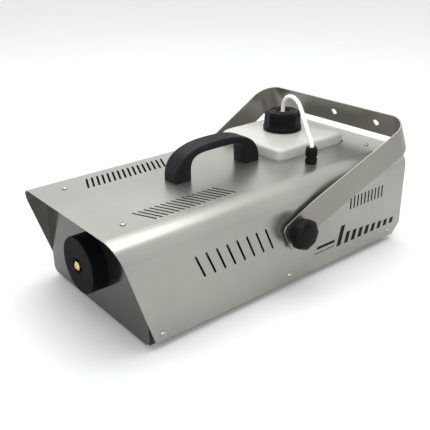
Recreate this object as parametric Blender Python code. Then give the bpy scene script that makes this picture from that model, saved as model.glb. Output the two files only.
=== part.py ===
"""Fog machine: sheet-metal housing, heater, pump, fluid tank, carry handle and tilting yoke.

Lengths are in millimetres and the helpers turn them into metres. The nozzle looks along -Y, +Z is
up, and the origin is under the middle of the housing, on the plane that the rubber feet stand on.
"""

import math

import bmesh
import bpy
from mathutils import Matrix, Vector

MM = 0.001
GAP = 0.3  # clearance between pieces that touch
SHEET = 1.2  # gauge of the housing's sheet steel

# Housing
HALF_LENGTH = 245.0
HALF_WIDTH = 118.0
TOP = 143.0
TRAY_Z = 8.0
COVER_BOTTOM = 9.0
BEND = 28.0  # outer radius of the cover's two long bends
HOOD_SLANT = 40.7  # how far the hood's front edge leans back down each side
REAR_CHAMFER = 16.0
FRONT_PLATE_Y = -213.0
REAR_PANEL_Y = 235.2
FLANGE_X = 84.0
INSIDE_X = HALF_WIDTH - SHEET - GAP
INSIDE_TOP = TOP - SHEET - GAP

# Vents: start of the first slot, end of the first slot, pitch along Y, number of slots
SLOT_WIDTH = 2.5
TOP_VENT = ((50.0, -183.0), (81.0, -169.5), 7.8, 16)
SIDE_FRONT_VENT = ((-145.3, 101.3), (-131.0, 69.8), 15.5, 8)
SIDE_REAR_VENT = ((125.4, 98.8), (125.4, 80.0), 7.6, 10)

# Fasteners
SCREW_HOLE = 1.9
TOP_SCREWS = [(x, y) for x in (-69.0, 69.0) for y in (-207.0, 213.0)]
SIDE_SCREW_Z = 18.8
SIDE_SCREWS_Y = (-194.5, 9.3, 216.5)

# Nozzle and heater
NOZZLE_Z = 71.5
HEATER_Y = (-150.0, -10.0)
HEATER_HALF = (30.0, 25.0)
SLEEVE = 6.6
ROD_X = -16.0

# Fluid tank
TANK_CENTRE = (-27.5, 133.5)
TANK_HALF = (65.5, 69.5)
TANK_SQUARENESS = 9.0  # exponent of the super-ellipse that draws its plan
TANK_WALL = 1.8
TANK_SHOULDER = 158.0
NECK_TOP = 182.0
NECK_RADIUS = 20.0
CAP_BASE = 162.2
CAP_TOP = 190.0
CAP_RADIUS = 27.0
SHELF_TOP = 22.2

# Suction hose, gland and pump, which share one upright axis
HOSE_RADIUS = 2.9
BORE = 3.4
GLAND = (69.0, 94.0)
GLAND_TOP = 166.0
HOSE_FOOT = 130.0
HOSE_ROUTE = [
    (-27.5, 133.5, 186.0), (-27.0, 133.3, 194.0), (-24.0, 132.0, 202.5), (-15.5, 128.3, 211.5),
    (-3.0, 123.2, 216.5), (10.0, 118.0, 217.5), (21.5, 113.3, 215.0), (31.5, 109.2, 208.5),
    (41.0, 105.3, 198.5), (50.0, 101.7, 188.5), (58.0, 98.4, 180.5), (64.5, 95.8, 174.0),
    (68.2, 94.4, 168.5), (69.0, 94.0, 164.0), (69.0, 94.0, 147.0), (69.0, 94.0, HOSE_FOOT),
]
PUMP_Z = (34.0, 92.0)
PUMP_RADIUS = 13.0

# Carry handle
HANDLE_Y = (-94.0, 49.5)
HANDLE_INNER_Y = (-69.0, 24.5)
HANDLE_HALF_WIDTH = 13.5
HANDLE_RISE = 44.0
GRIP = 11.0

# Yoke bracket: its arms turn on a pivot in each side and it leans back over the tank
PIVOT = (15.5, 83.7)
YOKE_LEAN = math.radians(25.04)
YOKE_REACH = 223.3
YOKE_TAIL = 19.5
YOKE_WIDTH = 41.0
YOKE_SHEET = 2.0
YOKE_BEND = 30.0
ARM_X = 122.5
CROSSBAR_X = 140.0
YOKE_HOLES_X = (-79.0, 0.0, 79.0)

# Rear panel fittings: X of each, all at one height
FITTING_Z = 45.0
INLET_X, FUSE_X, SWITCH_X, REMOTE_X = 78.0, 44.0, 12.0, -62.0


# ---------------------------------------------------------------- helpers


def material(name, colour, roughness, metallic=0.0):
    """A Principled material, made once and shared."""
    found = bpy.data.materials.get(name)
    if found:
        return found
    made = bpy.data.materials.new(name)
    made.use_nodes = True
    shader = made.node_tree.nodes["Principled BSDF"]
    shader.inputs["Base Color"].default_value = (*colour, 1.0)
    shader.inputs["Roughness"].default_value = roughness
    shader.inputs["Metallic"].default_value = metallic
    return made


def steel():
    return material("satin_steel", (0.52, 0.51, 0.47), 0.34, 0.9)


def plain_steel():
    return material("zinc_steel", (0.45, 0.45, 0.44), 0.4, 0.9)


def black_plastic():
    return material("black_plastic", (0.02, 0.02, 0.022), 0.45)


def rubber():
    return material("black_rubber", (0.015, 0.015, 0.015), 0.8)


def brass():
    return material("brass", (0.72, 0.52, 0.2), 0.3, 1.0)


def milky_plastic():
    return material("milky_plastic", (0.8, 0.8, 0.76), 0.4)


def add_object(name, bm, finish, origin=(0.0, 0.0, 0.0)):
    """Turns a bmesh in world millimetres into an object whose origin sits at the given point."""
    bmesh.ops.recalc_face_normals(bm, faces=bm.faces)
    bm.transform(Matrix.Scale(MM, 4) @ Matrix.Translation(-Vector(origin)))
    mesh = bpy.data.meshes.new(name)
    bm.to_mesh(mesh)
    bm.free()
    mesh.shade_smooth()
    mesh.set_sharp_from_angle(angle=math.radians(35))
    mesh.materials.append(finish)
    obj = bpy.data.objects.new(name, mesh)
    obj.location = Vector(origin) * MM
    bpy.context.scene.collection.objects.link(obj)
    return obj


def combine(obj, tool_bm, operation="DIFFERENCE"):
    """Adds a Boolean with a hidden tool made from a bmesh in world millimetres."""
    tool = add_object(f"{obj.name}_tool_{len(obj.modifiers)}", tool_bm, plain_steel())
    tool.hide_render = True
    tool.display_type = "WIRE"
    modifier = obj.modifiers.new(operation.title(), "BOOLEAN")
    modifier.operation = operation
    modifier.solver = "EXACT"
    modifier.object = tool


def block(lo, hi, bm=None):
    """A box between two corners, added to a bmesh."""
    bm = bm or bmesh.new()
    size = Vector(hi) - Vector(lo)
    middle = (Vector(hi) + Vector(lo)) / 2
    matrix = Matrix.Translation(middle) @ Matrix.Diagonal((*size, 1.0))
    bmesh.ops.create_cube(bm, size=1.0, matrix=matrix)
    return bm


def prism(outline, axis, lo, hi, bm=None):
    """Extrudes an outline along X, Y or Z. Its points are the other two coordinates, in order."""
    bm = bm or bmesh.new()

    def place(point, height):
        at = list(point)
        at.insert("XYZ".index(axis), height)
        return bm.verts.new(at)

    ends = [[place(point, height) for point in outline] for height in (lo, hi)]
    bm.faces.new(ends[0])
    bm.faces.new(ends[1])
    for i in range(len(outline)):
        j = (i + 1) % len(outline)
        bm.faces.new((ends[0][i], ends[0][j], ends[1][j], ends[1][i]))
    return bm


def loft(rings, bm=None, closed=False):
    """Skins rings of equal count. An open loft gets flat ends; a closed one joins up with itself."""
    bm = bm or bmesh.new()
    made = [[bm.verts.new(point) for point in ring] for ring in rings]
    pairs = list(zip(made, made[1:] + made[:1])) if closed else list(zip(made, made[1:]))
    for first, second in pairs:
        for i in range(len(first)):
            j = (i + 1) % len(first)
            bm.faces.new((first[i], first[j], second[j], second[i]))
    if not closed:
        bm.faces.new(made[0])
        bm.faces.new(made[-1])
    return bm


def polygon_factor(angle, flats):
    """How far a regular polygon's side lies from its centre, as a part of its corner radius."""
    step = 2 * math.pi / flats
    return math.cos(step / 2) / math.cos(angle % step - step / 2)


def turned(profile, centre, axis, sides, flats=0, bm=None):
    """Turns (radius, height) points about an axis; a bored piece gives its whole closed outline.

    A third item, True, draws that point's ring as a polygon with the given number of flats.
    """
    rings = []
    for radius, height, *faceted in profile:
        ring = []
        for i in range(sides):
            angle = 2 * math.pi * i / sides
            reach = radius * (polygon_factor(angle, flats) if faceted else 1.0)
            at = [centre[0] + reach * math.cos(angle), centre[1] + reach * math.sin(angle)]
            at.insert("XYZ".index(axis), height)
            ring.append(at)
        rings.append(ring)
    return loft(rings, bm, closed=profile[0] == profile[-1])


def ring_profile(outer, inner, lo, hi):
    """The closed outline of a plain ring."""
    return [(outer, lo), (outer, hi), (inner, hi), (inner, lo), (outer, lo)]


def arc(centre, radius, start, end, steps):
    """Points on an arc, in degrees."""
    angles = [math.radians(start + (end - start) * i / steps) for i in range(steps + 1)]
    return [(centre[0] + radius * math.cos(a), centre[1] + radius * math.sin(a)) for a in angles]


def super_ellipse(half, power, count, centre=(0.0, 0.0)):
    """A rounded rectangle's plan, by equal steps of polar angle."""
    points = []
    for i in range(count):
        angle = 2 * math.pi * (i + 0.5) / count
        c, s = math.cos(angle), math.sin(angle)
        reach = (abs(c / half[0]) ** power + abs(s / half[1]) ** power) ** (-1 / power)
        points.append((centre[0] + reach * c, centre[1] + reach * s))
    return points


def smooth_path(route, spacing):
    """Points read from a Catmull-Rom curve through the route's own points."""
    points = [Vector(p) for p in route]
    padded = [2 * points[0] - points[1]] + points + [2 * points[-1] - points[-2]]
    path = []
    for a, b, c, d in zip(padded, padded[1:], padded[2:], padded[3:]):
        steps = max(1, round((c - b).length / spacing))
        for i in range(steps):
            t = i / steps
            path.append(
                0.5 * (2 * b + (c - a) * t + (2 * a - 5 * b + 4 * c - d) * t * t
                       + (3 * b - a - 3 * c + d) * t ** 3)
            )
    return path + [points[-1]]


def tube(name, path, radius, finish, resolution=2):
    """A round tube along points in millimetres, as a curve with filled caps."""
    curve = bpy.data.curves.new(name, "CURVE")
    curve.dimensions = "3D"
    curve.bevel_depth = radius * MM
    curve.bevel_resolution = resolution
    curve.use_fill_caps = True
    curve.materials.append(finish)
    spline = curve.splines.new("POLY")
    spline.points.add(len(path) - 1)
    for point, place in zip(spline.points, path):
        point.co = (*(Vector(place) * MM), 1.0)
    obj = bpy.data.objects.new(name, curve)
    bpy.context.scene.collection.objects.link(obj)
    return obj


def slot(start, end, width, low, high, axis, bm):
    """A straight slot cutter between two points of a sheet, cutting from low to high."""
    a, b = Vector(start), Vector(end)
    along = (b - a).normalized() * (width / 2)
    across = Vector((-along.y, along.x))
    outline = [a - along + across, a - along - across, b + along - across, b + along + across]
    prism([tuple(p) for p in outline], axis, low, high, bm)


def round_hole(bm, centre, radius, low, high, axis, sides=12):
    turned([(radius, low), (radius, high)], centre, axis, sides, bm=bm)


# ---------------------------------------------------------------- housing


def cover_outline(inset):
    """One side of the cover's arch, from the left bottom edge over the top to the right one."""
    side, top, radius = HALF_WIDTH - inset, TOP - inset, BEND - inset
    bend_x, bend_z = side - radius, top - radius
    left = arc((-bend_x, bend_z), radius, 180, 90, 6)
    right = arc((bend_x, bend_z), radius, 90, 0, 6)
    return [(-side, COVER_BOTTOM), *left, *right, (side, COVER_BOTTOM)]


def plate_outline(bottom, chamfer):
    """A panel that fills the cover's arch, with the gap all round."""
    inset = SHEET + GAP
    upper = cover_outline(inset)[1:-1]
    side = HALF_WIDTH - inset
    right = [(side, bottom + chamfer), (side - chamfer, bottom)]
    return upper + right + [(-x, z) for x, z in reversed(right)]


def build_cover():
    outline = cover_outline(0.0) + cover_outline(SHEET)[::-1]
    bm = prism(outline, "Y", -HALF_LENGTH, HALF_LENGTH)
    cover = add_object("top_cover", bm, steel())
    slope = HOOD_SLANT / (TOP - COVER_BOTTOM)
    ends = bmesh.new()
    front = [(-HALF_LENGTH + slope * (TOP - z), z) for z in (TOP + 9, COVER_BOTTOM - 9)]
    front += [(-HALF_LENGTH - 20, COVER_BOTTOM - 9), (-HALF_LENGTH - 20, TOP + 9)]
    prism(front, "X", -HALF_WIDTH - 5, HALF_WIDTH + 5, ends)
    rear = [
        (HALF_LENGTH - REAR_CHAMFER - 2, COVER_BOTTOM - 2),
        (HALF_LENGTH + 2, COVER_BOTTOM - 2),
        (HALF_LENGTH + 2, COVER_BOTTOM + REAR_CHAMFER + 2),
    ]
    prism(rear, "X", -HALF_WIDTH - 5, HALF_WIDTH + 5, ends)
    combine(cover, ends)
    openings = bmesh.new()
    tank_hole = super_ellipse([h + 1.6 for h in TANK_HALF], TANK_SQUARENESS, 32, TANK_CENTRE)
    prism(tank_hole, "Z", TOP - 5, TOP + 5, openings)
    round_hole(openings, GLAND, 8.0, TOP - 5, TOP + 5, "Z", 16)
    for x, y in TOP_SCREWS:
        round_hole(openings, (x, y), SCREW_HOLE, TOP - 5, TOP + 5, "Z", 8)
    for side in (-1, 1):
        (x0, y0), (x1, y1), pitch, count = TOP_VENT
        for i in range(count):
            step = pitch * i
            start, end = (side * x0, y0 + step), (side * x1, y1 + step)
            slot(start, end, SLOT_WIDTH, TOP - 5, TOP + 5, "Z", openings)
        low, high = sorted((side * (HALF_WIDTH - 5), side * (HALF_WIDTH + 5)))
        for start, end, pitch, count in (SIDE_FRONT_VENT, SIDE_REAR_VENT):
            for i in range(count):
                (y0, z0), (y1, z1), step = start, end, pitch * i
                slot((y0 + step, z0), (y1 + step, z1), SLOT_WIDTH, low, high, "X", openings)
        round_hole(openings, PIVOT, 4.6, low, high, "X")
        for y in SIDE_SCREWS_Y:
            round_hole(openings, (y, SIDE_SCREW_Z), SCREW_HOLE, low, high, "X", 8)
    combine(cover, openings)


def build_tray():
    side, top = INSIDE_X, 30.0
    outline = [
        (-side, TRAY_Z), (side, TRAY_Z), (side, top), (side - SHEET, top),
        (side - SHEET, TRAY_Z + SHEET), (SHEET - side, TRAY_Z + SHEET), (SHEET - side, top),
        (-side, top),
    ]
    front, rear = FRONT_PLATE_Y + SHEET + GAP, REAR_PANEL_Y - SHEET - GAP
    tray = add_object("base_tray", prism(outline, "Y", front, rear), plain_steel())
    cuts = bmesh.new()
    for lo, hi in ((front - 5, front + 11), (rear - 10, rear + 5)):
        block((-side - 5, lo, TRAY_Z + SHEET + 0.4), (side + 5, hi, top + 5), cuts)
    for side_sign in (-1, 1):
        low, high = sorted((side_sign * (side - 5), side_sign * (side + 5)))
        for y in SIDE_SCREWS_Y:
            round_hole(cuts, (y, SIDE_SCREW_Z), SCREW_HOLE, low, high, "X", 8)
    combine(tray, cuts)


def build_front_plate():
    bm = prism(plate_outline(TRAY_Z, 6.0), "Y", FRONT_PLATE_Y, FRONT_PLATE_Y + SHEET)
    plate = add_object("front_plate", bm, steel())
    flange = block((-FLANGE_X, FRONT_PLATE_Y + 0.6, INSIDE_TOP - SHEET),
                   (FLANGE_X, FRONT_PLATE_Y + 15, INSIDE_TOP))
    combine(plate, flange, "UNION")
    holes = bmesh.new()
    round_hole(holes, (0.0, NOZZLE_Z), 6.0, FRONT_PLATE_Y - 5, FRONT_PLATE_Y + 5, "Y")
    for x, y in TOP_SCREWS:
        if y < 0:
            round_hole(holes, (x, y), SCREW_HOLE, INSIDE_TOP - 5, INSIDE_TOP + 5, "Z", 8)
    combine(plate, holes)


def build_rear_panel():
    back = REAR_PANEL_Y
    bm = prism(plate_outline(TRAY_Z, 6.0), "Y", back - SHEET, back)
    panel = add_object("rear_panel", bm, plain_steel())
    flange = block((-FLANGE_X, 206.0, INSIDE_TOP - SHEET), (FLANGE_X, back - 0.6, INSIDE_TOP))
    combine(panel, flange, "UNION")
    holes = bmesh.new()
    for x, half_x, half_z in ((INLET_X, 14.0, 10.6), (SWITCH_X, 7.0, 10.0)):
        block((x - half_x, back - 5, FITTING_Z - half_z), (x + half_x, back + 5, FITTING_Z + half_z),
              holes)
    for x, radius in ((FUSE_X, 6.7), (REMOTE_X, 8.4)):
        round_hole(holes, (x, FITTING_Z), radius, back - 5, back + 5, "Y", 16)
    for x, y in TOP_SCREWS:
        if y > 0:
            round_hole(holes, (x, y), SCREW_HOLE, INSIDE_TOP - 5, INSIDE_TOP + 5, "Z", 8)
    combine(panel, holes)


def build_screws():
    """Domed screws that stand on the cover and reach through the flange under it."""

    def screw(name, centre, axis, seat, sign):
        profile = [(0.4, 1.9), (2.3, 1.5), (3.5, 0.5), (3.5, 0.0), (1.5, 0.0), (1.5, -6.0)]
        points = [(radius, seat + sign * (GAP + height)) for radius, height in profile]
        add_object(name, turned(points, centre, axis, 8), plain_steel())

    for i, (x, y) in enumerate(TOP_SCREWS):
        screw(f"top_screw_{i + 1}", (x, y), "Z", TOP, 1)
    for label, sign in (("left", -1), ("right", 1)):
        for i, y in enumerate(SIDE_SCREWS_Y):
            screw(f"{label}_screw_{i + 1}", (y, SIDE_SCREW_Z), "X", sign * HALF_WIDTH, sign)


def build_feet():
    profile = [(9.5, 0.0), (11.0, 1.2), (11.0, TRAY_Z - GAP)]
    for x_name, x in (("left", -95.0), ("right", 95.0)):
        for y_name, y in (("front", -188.0), ("rear", 212.0)):
            bm = turned(profile, (x, y), "Z", 16)
            add_object(f"foot_{y_name}_{x_name}", bm, rubber())


def build_handle():
    """A bow with upright inner leg faces and a grip that arches slightly."""
    middle = sum(HANDLE_Y) / 2
    outer_half = (HANDLE_Y[1] - HANDLE_Y[0]) / 2
    inner_half = (HANDLE_INNER_Y[1] - HANDLE_INNER_Y[0]) / 2
    base = TOP + GAP
    inner_rise = HANDLE_RISE - GRIP
    knee = inner_rise - 14.0

    def bow(half, start, rise, power, count):
        points = []
        for i in range(count + 1):
            angle = math.pi * i / count
            c, s = math.cos(angle), math.sin(angle)
            y = -half * math.copysign(abs(c) ** (2 / power), c)
            points.append((middle + y, base + start + rise * s ** (2 / power)))
        return points

    outer = bow(outer_half, 0.0, HANDLE_RISE, 2.6, 18)
    inner = bow(inner_half, knee, inner_rise - knee, 2.6, 12)
    feet = [(middle + inner_half, base), (middle - inner_half, base)]
    outline = outer + [feet[0], *inner[::-1], feet[1]]
    bm = prism(outline, "X", -HANDLE_HALF_WIDTH, HANDLE_HALF_WIDTH)
    add_object("handle", bm, black_plastic())


# ---------------------------------------------------------------- yoke


def yoke_stations():
    """(across, reach, half width) along the strap's centre line, from one arm end to the other."""
    half = YOKE_WIDTH / 2
    end = [(ARM_X, -YOKE_TAIL, half - 4.5), (ARM_X, 5.5 - YOKE_TAIL, half), (ARM_X, 16.0, half),
           (ARM_X + 0.7, 30.0, half), (ARM_X + 2.5, 52.0, half)]
    bend_x = CROSSBAR_X - YOKE_BEND
    bend = arc((bend_x, YOKE_REACH - YOKE_BEND), YOKE_BEND, 0, 90, 6)
    right = end + [(x, reach, half) for x, reach in bend]
    return right + [(-x, reach, h) for x, reach, h in reversed(right)]


def build_yoke():
    reach_way = Vector((0.0, math.cos(YOKE_LEAN), math.sin(YOKE_LEAN)))
    width_way = Vector((0.0, -math.sin(YOKE_LEAN), math.cos(YOKE_LEAN)))
    pivot = Vector((0.0, *PIVOT))
    stations = yoke_stations()
    rings = []
    for i, (x, reach, half) in enumerate(stations):
        before, after = stations[max(i - 1, 0)], stations[min(i + 1, len(stations) - 1)]
        run = Vector((after[0] - before[0], after[1] - before[1])).normalized()
        normal = Vector((run.y, 0.0, 0.0)) - reach_way * run.x
        middle = pivot + Vector((x, 0.0, 0.0)) + reach_way * reach
        out = normal * (YOKE_SHEET / 2)
        side = width_way * half
        rings.append([middle + out + side, middle - out + side, middle - out - side,
                      middle + out - side])
    bracket = add_object("bracket", loft(rings), steel(), pivot)
    holes = bmesh.new()
    round_hole(holes, PIVOT, 4.6, -CROSSBAR_X, CROSSBAR_X, "X", 16)
    turn = Matrix.Rotation(YOKE_LEAN, 3, "X")
    for x in YOKE_HOLES_X:
        hole = turned([(5.0, YOKE_REACH - 8), (5.0, YOKE_REACH + 8)], (x, 0.0), "Y", 16)
        bmesh.ops.rotate(hole, verts=hole.verts, cent=(0, 0, 0), matrix=turn)
        bmesh.ops.translate(hole, verts=hole.verts, vec=pivot)
        hole_mesh = bpy.data.meshes.new("hole")
        hole.to_mesh(hole_mesh)
        hole.free()
        holes.from_mesh(hole_mesh)
        bpy.data.meshes.remove(hole_mesh)
    combine(bracket, holes)


def build_pivots():
    """On each side, from the inside out: nut, spacer, and a clamp knob whose stud joins them."""
    arm_face = ARM_X + YOKE_SHEET / 2 + GAP
    for label, sign in (("left", -1), ("right", 1)):
        def about_pivot(profile, sides, flats=0):
            points = [(r, sign * x, *more) for r, x, *more in profile]
            return turned(points, PIVOT, "X", sides, flats)

        inner = HALF_WIDTH - SHEET - GAP
        nut = [(8.0, inner - 6, True), (8.0, inner, True), (4.4, inner), (4.4, inner - 6),
               (8.0, inner - 6, True)]
        spacer = ring_profile(10.0, 4.4, HALF_WIDTH + GAP, ARM_X - YOKE_SHEET / 2 - GAP)
        knob = [(13.5, arm_face + 21.7, True), (17.0, arm_face + 20.7, True),
                (20.0, arm_face + 17.7, True), (20.0, arm_face + 9.5, True),
                (16.5, arm_face + 6.5, True), (12.5, arm_face + 5.5), (12.5, arm_face),
                (3.8, arm_face), (3.8, inner - 8)]
        add_object(f"pivot_nut_{label}", about_pivot(nut, 12, 6), plain_steel())
        add_object(f"spacer_{label}", about_pivot(spacer, 16), black_plastic())
        origin = (sign * arm_face, *PIVOT)
        add_object(f"knob_{label}", about_pivot(knob, 24, 8), black_plastic(), origin)


# ---------------------------------------------------------------- nozzle and heater


def build_nozzle():
    axis_at = (0.0, NOZZLE_Z)
    back, face = FRONT_PLATE_Y - GAP, FRONT_PLATE_Y - 20.0
    guard = [(36.5, back), (36.5, face + 1.5), (35.0, face), (8.0, face), (8.0, face + 3),
             (33.5, face + 3), (33.5, back), (36.5, back)]
    add_object("nozzle_guard", turned(guard, axis_at, "Y", 32), black_plastic())
    tip_back = HEATER_Y[0] - 55.0
    tip = [(6.2, face + 4, True), (6.2, face - 2, True), (5.0, face - 3, True), (1.6, face - 3),
           (1.6, tip_back), (4.5, tip_back), (4.5, face + 4), (6.2, face + 4, True)]
    add_object("nozzle_tip", turned(tip, axis_at, "Y", 12, 6), brass())
    pipe = ring_profile(2.9, 1.6, tip_back + GAP, HEATER_Y[1] + 24)
    add_object("vapour_pipe", turned(pipe, axis_at, "Y", 10), brass())


def build_heater():
    """Two clamped aluminium halves round a vapour pipe and a heating rod, in a mineral sleeve."""
    cast = material("cast_aluminium", (0.6, 0.6, 0.6), 0.5, 0.9)
    half_x, half_z = HEATER_HALF
    for name, lo, hi in (("heater_block_lower", -half_z, -GAP / 2), ("heater_block_upper", GAP / 2, half_z)):
        bm = block((-half_x, HEATER_Y[0], NOZZLE_Z + lo), (half_x, HEATER_Y[1], NOZZLE_Z + hi))
        half = add_object(name, bm, cast)
        grooves = bmesh.new()
        for x, radius in ((0.0, 3.4), (ROD_X, 5.4)):
            round_hole(grooves, (x, NOZZLE_Z), radius, HEATER_Y[0] - 5, HEATER_Y[1] + 5, "Y")
        combine(half, grooves)
    front = HEATER_Y[0] + GAP
    rod = [(5.0, front), (5.0, HEATER_Y[1] + 10), (2.0, HEATER_Y[1] + 10), (2.0, HEATER_Y[1] + 20)]
    add_object("heater_rod", turned(rod, (ROD_X, NOZZLE_Z), "Y", 12), plain_steel())
    wool = material("mineral_sleeve", (0.75, 0.72, 0.62), 0.9)
    outer, inner = half_x + SLEEVE, half_x + 0.4
    rings = []
    for reach, y in ((outer, HEATER_Y[0]), (outer, HEATER_Y[1]), (inner, HEATER_Y[1]),
                     (inner, HEATER_Y[0])):
        tall = reach - half_x + half_z
        rings.append([(x, y, NOZZLE_Z + z) for x, z in ((-reach, -tall), (reach, -tall),
                                                       (reach, tall), (-reach, tall))])
    add_object("heater_sleeve", loft(rings, closed=True), wool)
    deck = NOZZLE_Z - half_z - SLEEVE - GAP
    floor = TRAY_Z + SHEET + GAP
    stand = [(-28, floor), (-28, deck), (28, deck), (28, floor), (28 - SHEET, floor),
             (28 - SHEET, deck - SHEET), (SHEET - 28, deck - SHEET), (SHEET - 28, floor)]
    add_object("heater_stand", prism(stand, "Y", HEATER_Y[0] + 12, HEATER_Y[1] - 12), plain_steel())
    back = HEATER_Y[1] + 0.4
    disc = [(8.0, back), (8.0, back + 5), (5.0, back + 8)]
    add_object("thermostat", turned(disc, (14.0, NOZZLE_Z + 14), "Y", 12), black_plastic())


# ---------------------------------------------------------------- pump and electrics


def build_pump():
    low, high = PUMP_Z
    body = [(4.0, low - 8), (4.0, low), (PUMP_RADIUS, low), (PUMP_RADIUS, high), (4.0, high),
            (4.0, high + 8), (1.6, high + 8), (1.6, high - 4), (6.4, high - 4), (6.4, low + 10),
            (1.6, low + 10), (1.6, low - 8), (4.0, low - 8)]
    add_object("pump_body", turned(body, GLAND, "Z", 16), brass())
    x, y = GLAND
    coil = add_object("pump_coil", block((x - 20, y - 20, low + 12), (x + 20, y + 20, high - 12)),
                      material("coil_epoxy", (0.03, 0.05, 0.12), 0.5))
    hole = bmesh.new()
    round_hole(hole, GLAND, PUMP_RADIUS + 0.5, low, high, "Z", 16)
    combine(coil, hole)
    plunger_foot = low + 28
    plunger = [(5.9, plunger_foot), (5.9, high - 4.4)]
    add_object("pump_plunger", turned(plunger, GLAND, "Z", 12), plain_steel(), (x, y, plunger_foot))
    turns, steps = 4, 8
    first, last = low + 10.9, plunger_foot - 0.9
    coils = []
    for i in range(turns * steps + 1):
        angle = 2 * math.pi * i / steps
        height = first + (last - first) * i / (turns * steps)
        coils.append((x + 4.6 * math.cos(angle), y + 4.6 * math.sin(angle), height))
    tube("pump_spring", coils, 0.5, plain_steel(), 0)
    floor = TRAY_Z + SHEET + GAP
    near = y + 20.4
    angle_plate = [(near, floor), (near + 20, floor), (near + 20, floor + 1.5),
                   (near + 1.5, floor + 1.5), (near + 1.5, high - 12), (near, high - 12)]
    add_object("pump_bracket", prism(angle_plate, "X", x - 18, x + 18), plain_steel())
    feed = [(x, y, HOSE_FOOT - GAP - i * (HOSE_FOOT - high - 8 - 2 * GAP) / 3) for i in range(4)]
    tube("feed_hose", feed, HOSE_RADIUS, milky_plastic())
    inlet_y = HEATER_Y[1] + 24 + GAP
    route = [(x, y, low - 8 - 2 * GAP), (x, y, low - 11), (x - 2, y - 4, 18.0), (x - 9, y - 13, 15.5),
             (50, 66, 15.0), (26, 46, 19.0), (6, 38, 38.0), (0, 34, 56.0), (0, 29, 67.0),
             (0, 22, 71.2), (0, inlet_y + 3, NOZZLE_Z), (0, inlet_y, NOZZLE_Z)]
    tube("pressure_pipe", smooth_path(route, 8.0), 2.0, brass(), 1)


def build_control_board():
    floor = TRAY_Z + SHEET + GAP
    rails = [(48, floor), (106, floor), (106, 21.7), (103, 21.7), (103, floor + 2), (51, floor + 2),
             (51, 21.7), (48, 21.7)]
    add_object("board_rails", prism(rails, "Y", 150, 200), black_plastic())
    board = material("board_green", (0.03, 0.16, 0.07), 0.5)
    add_object("control_board", block((46, 142, 22.0), (108, 206, 23.6)), board)
    core = material("transformer_core", (0.12, 0.1, 0.09), 0.6)
    add_object("transformer", block((60, 160, 23.9), (94, 190, 48)), core)


def build_inlet():
    back, x, z = REAR_PANEL_Y + GAP, INLET_X, FITTING_Z
    body = block((x - 13.5, back - 18, z - 10.2), (x + 13.5, back + 1, z + 10.2))
    inlet = add_object("power_inlet", body, black_plastic())
    combine(inlet, block((x - 24, back, z - 14), (x + 24, back + 2, z + 14)), "UNION")
    combine(inlet, block((x - 11.5, back - 15, z - 7.5), (x + 11.5, back + 5, z + 7.5)))
    pins = bmesh.new()
    for dx, dz in ((-7, -1.5), (7, -1.5), (0, 2.5)):
        block((x + dx - 1, back - 16, z + dz - 2), (x + dx + 1, back - 2, z + dz + 2), pins)
    combine(inlet, pins, "UNION")


def build_switch():
    back, x, z = REAR_PANEL_Y + GAP, SWITCH_X, FITTING_Z
    body = block((x - 6.5, back - 20, z - 9.6), (x + 6.5, back + 1, z + 9.6))
    frame = add_object("switch_frame", body, black_plastic())
    combine(frame, block((x - 8.5, back, z - 11.5), (x + 8.5, back + 1.6, z + 11.5)), "UNION")
    combine(frame, block((x - 5, back - 14, z - 8.2), (x + 5, back + 5, z + 8.2)))
    axis_y = back - 4.5
    outline = [(-4, -3), (7, -6.4), (5.2, 0), (7, 6.4), (-4, 3)]
    tilt = Matrix.Rotation(math.radians(-8), 2)
    turned_outline = [tilt @ Vector(p) for p in outline]
    placed = [(axis_y + p.x, z + p.y) for p in turned_outline]
    rocker = prism(placed, "X", x - 4.6, x + 4.6)
    red = material("switch_red", (0.5, 0.02, 0.02), 0.35)
    add_object("switch_rocker", rocker, red, (x, axis_y, z))


def build_fuse_and_remote():
    back = REAR_PANEL_Y + GAP
    at = (FUSE_X, FITTING_Z)
    holder = [(8.5, back + 2), (8.5, back), (6.3, back), (6.3, back - 22), (4.5, back - 22),
              (4.5, back + 2), (8.5, back + 2)]
    add_object("fuse_holder", turned(holder, at, "Y", 16), black_plastic())
    cap = [(5.6, back + 7, True), (6.4, back + 6, True), (6.4, back + 2.3, True), (4.0, back + 2.3),
           (4.0, back - 16)]
    add_object("fuse_cap", turned(cap, at, "Y", 16, 8), black_plastic(), (FUSE_X, back, FITTING_Z))
    at = (REMOTE_X, FITTING_Z)
    socket = [(12.0, back), (12.0, back + 1.8), (8.0, back + 1.8), (6.8, back + 0.8),
              (6.8, back - 10), (0.4, back - 10)]
    body = [(0.4, back - 18), (8.0, back - 18), (8.0, back)]
    bm = turned(body + socket, at, "Y", 16)
    remote = add_object("remote_socket", bm, black_plastic())
    pins = bmesh.new()
    for angle in (90, 210, 330):
        x = REMOTE_X + 3.6 * math.cos(math.radians(angle))
        z = FITTING_Z + 3.6 * math.sin(math.radians(angle))
        block((x - 0.7, back - 11, z - 0.7), (x + 0.7, back - 3, z + 0.7), pins)
    combine(remote, pins, "UNION")


# ---------------------------------------------------------------- tank, cap, hose and gland


def tank_ring(height, inset, roundness=0.0, radius=NECK_RADIUS):
    """One ring of the tank's skin, from its square plan (0) to a circle (1)."""
    half = [h - inset for h in TANK_HALF]
    square = super_ellipse(half, TANK_SQUARENESS, 32, TANK_CENTRE)
    circle = super_ellipse((radius, radius), 2.0, 32, TANK_CENTRE)
    return [(a[0] + (b[0] - a[0]) * roundness, a[1] + (b[1] - a[1]) * roundness, height)
            for a, b in zip(square, circle)]


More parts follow.
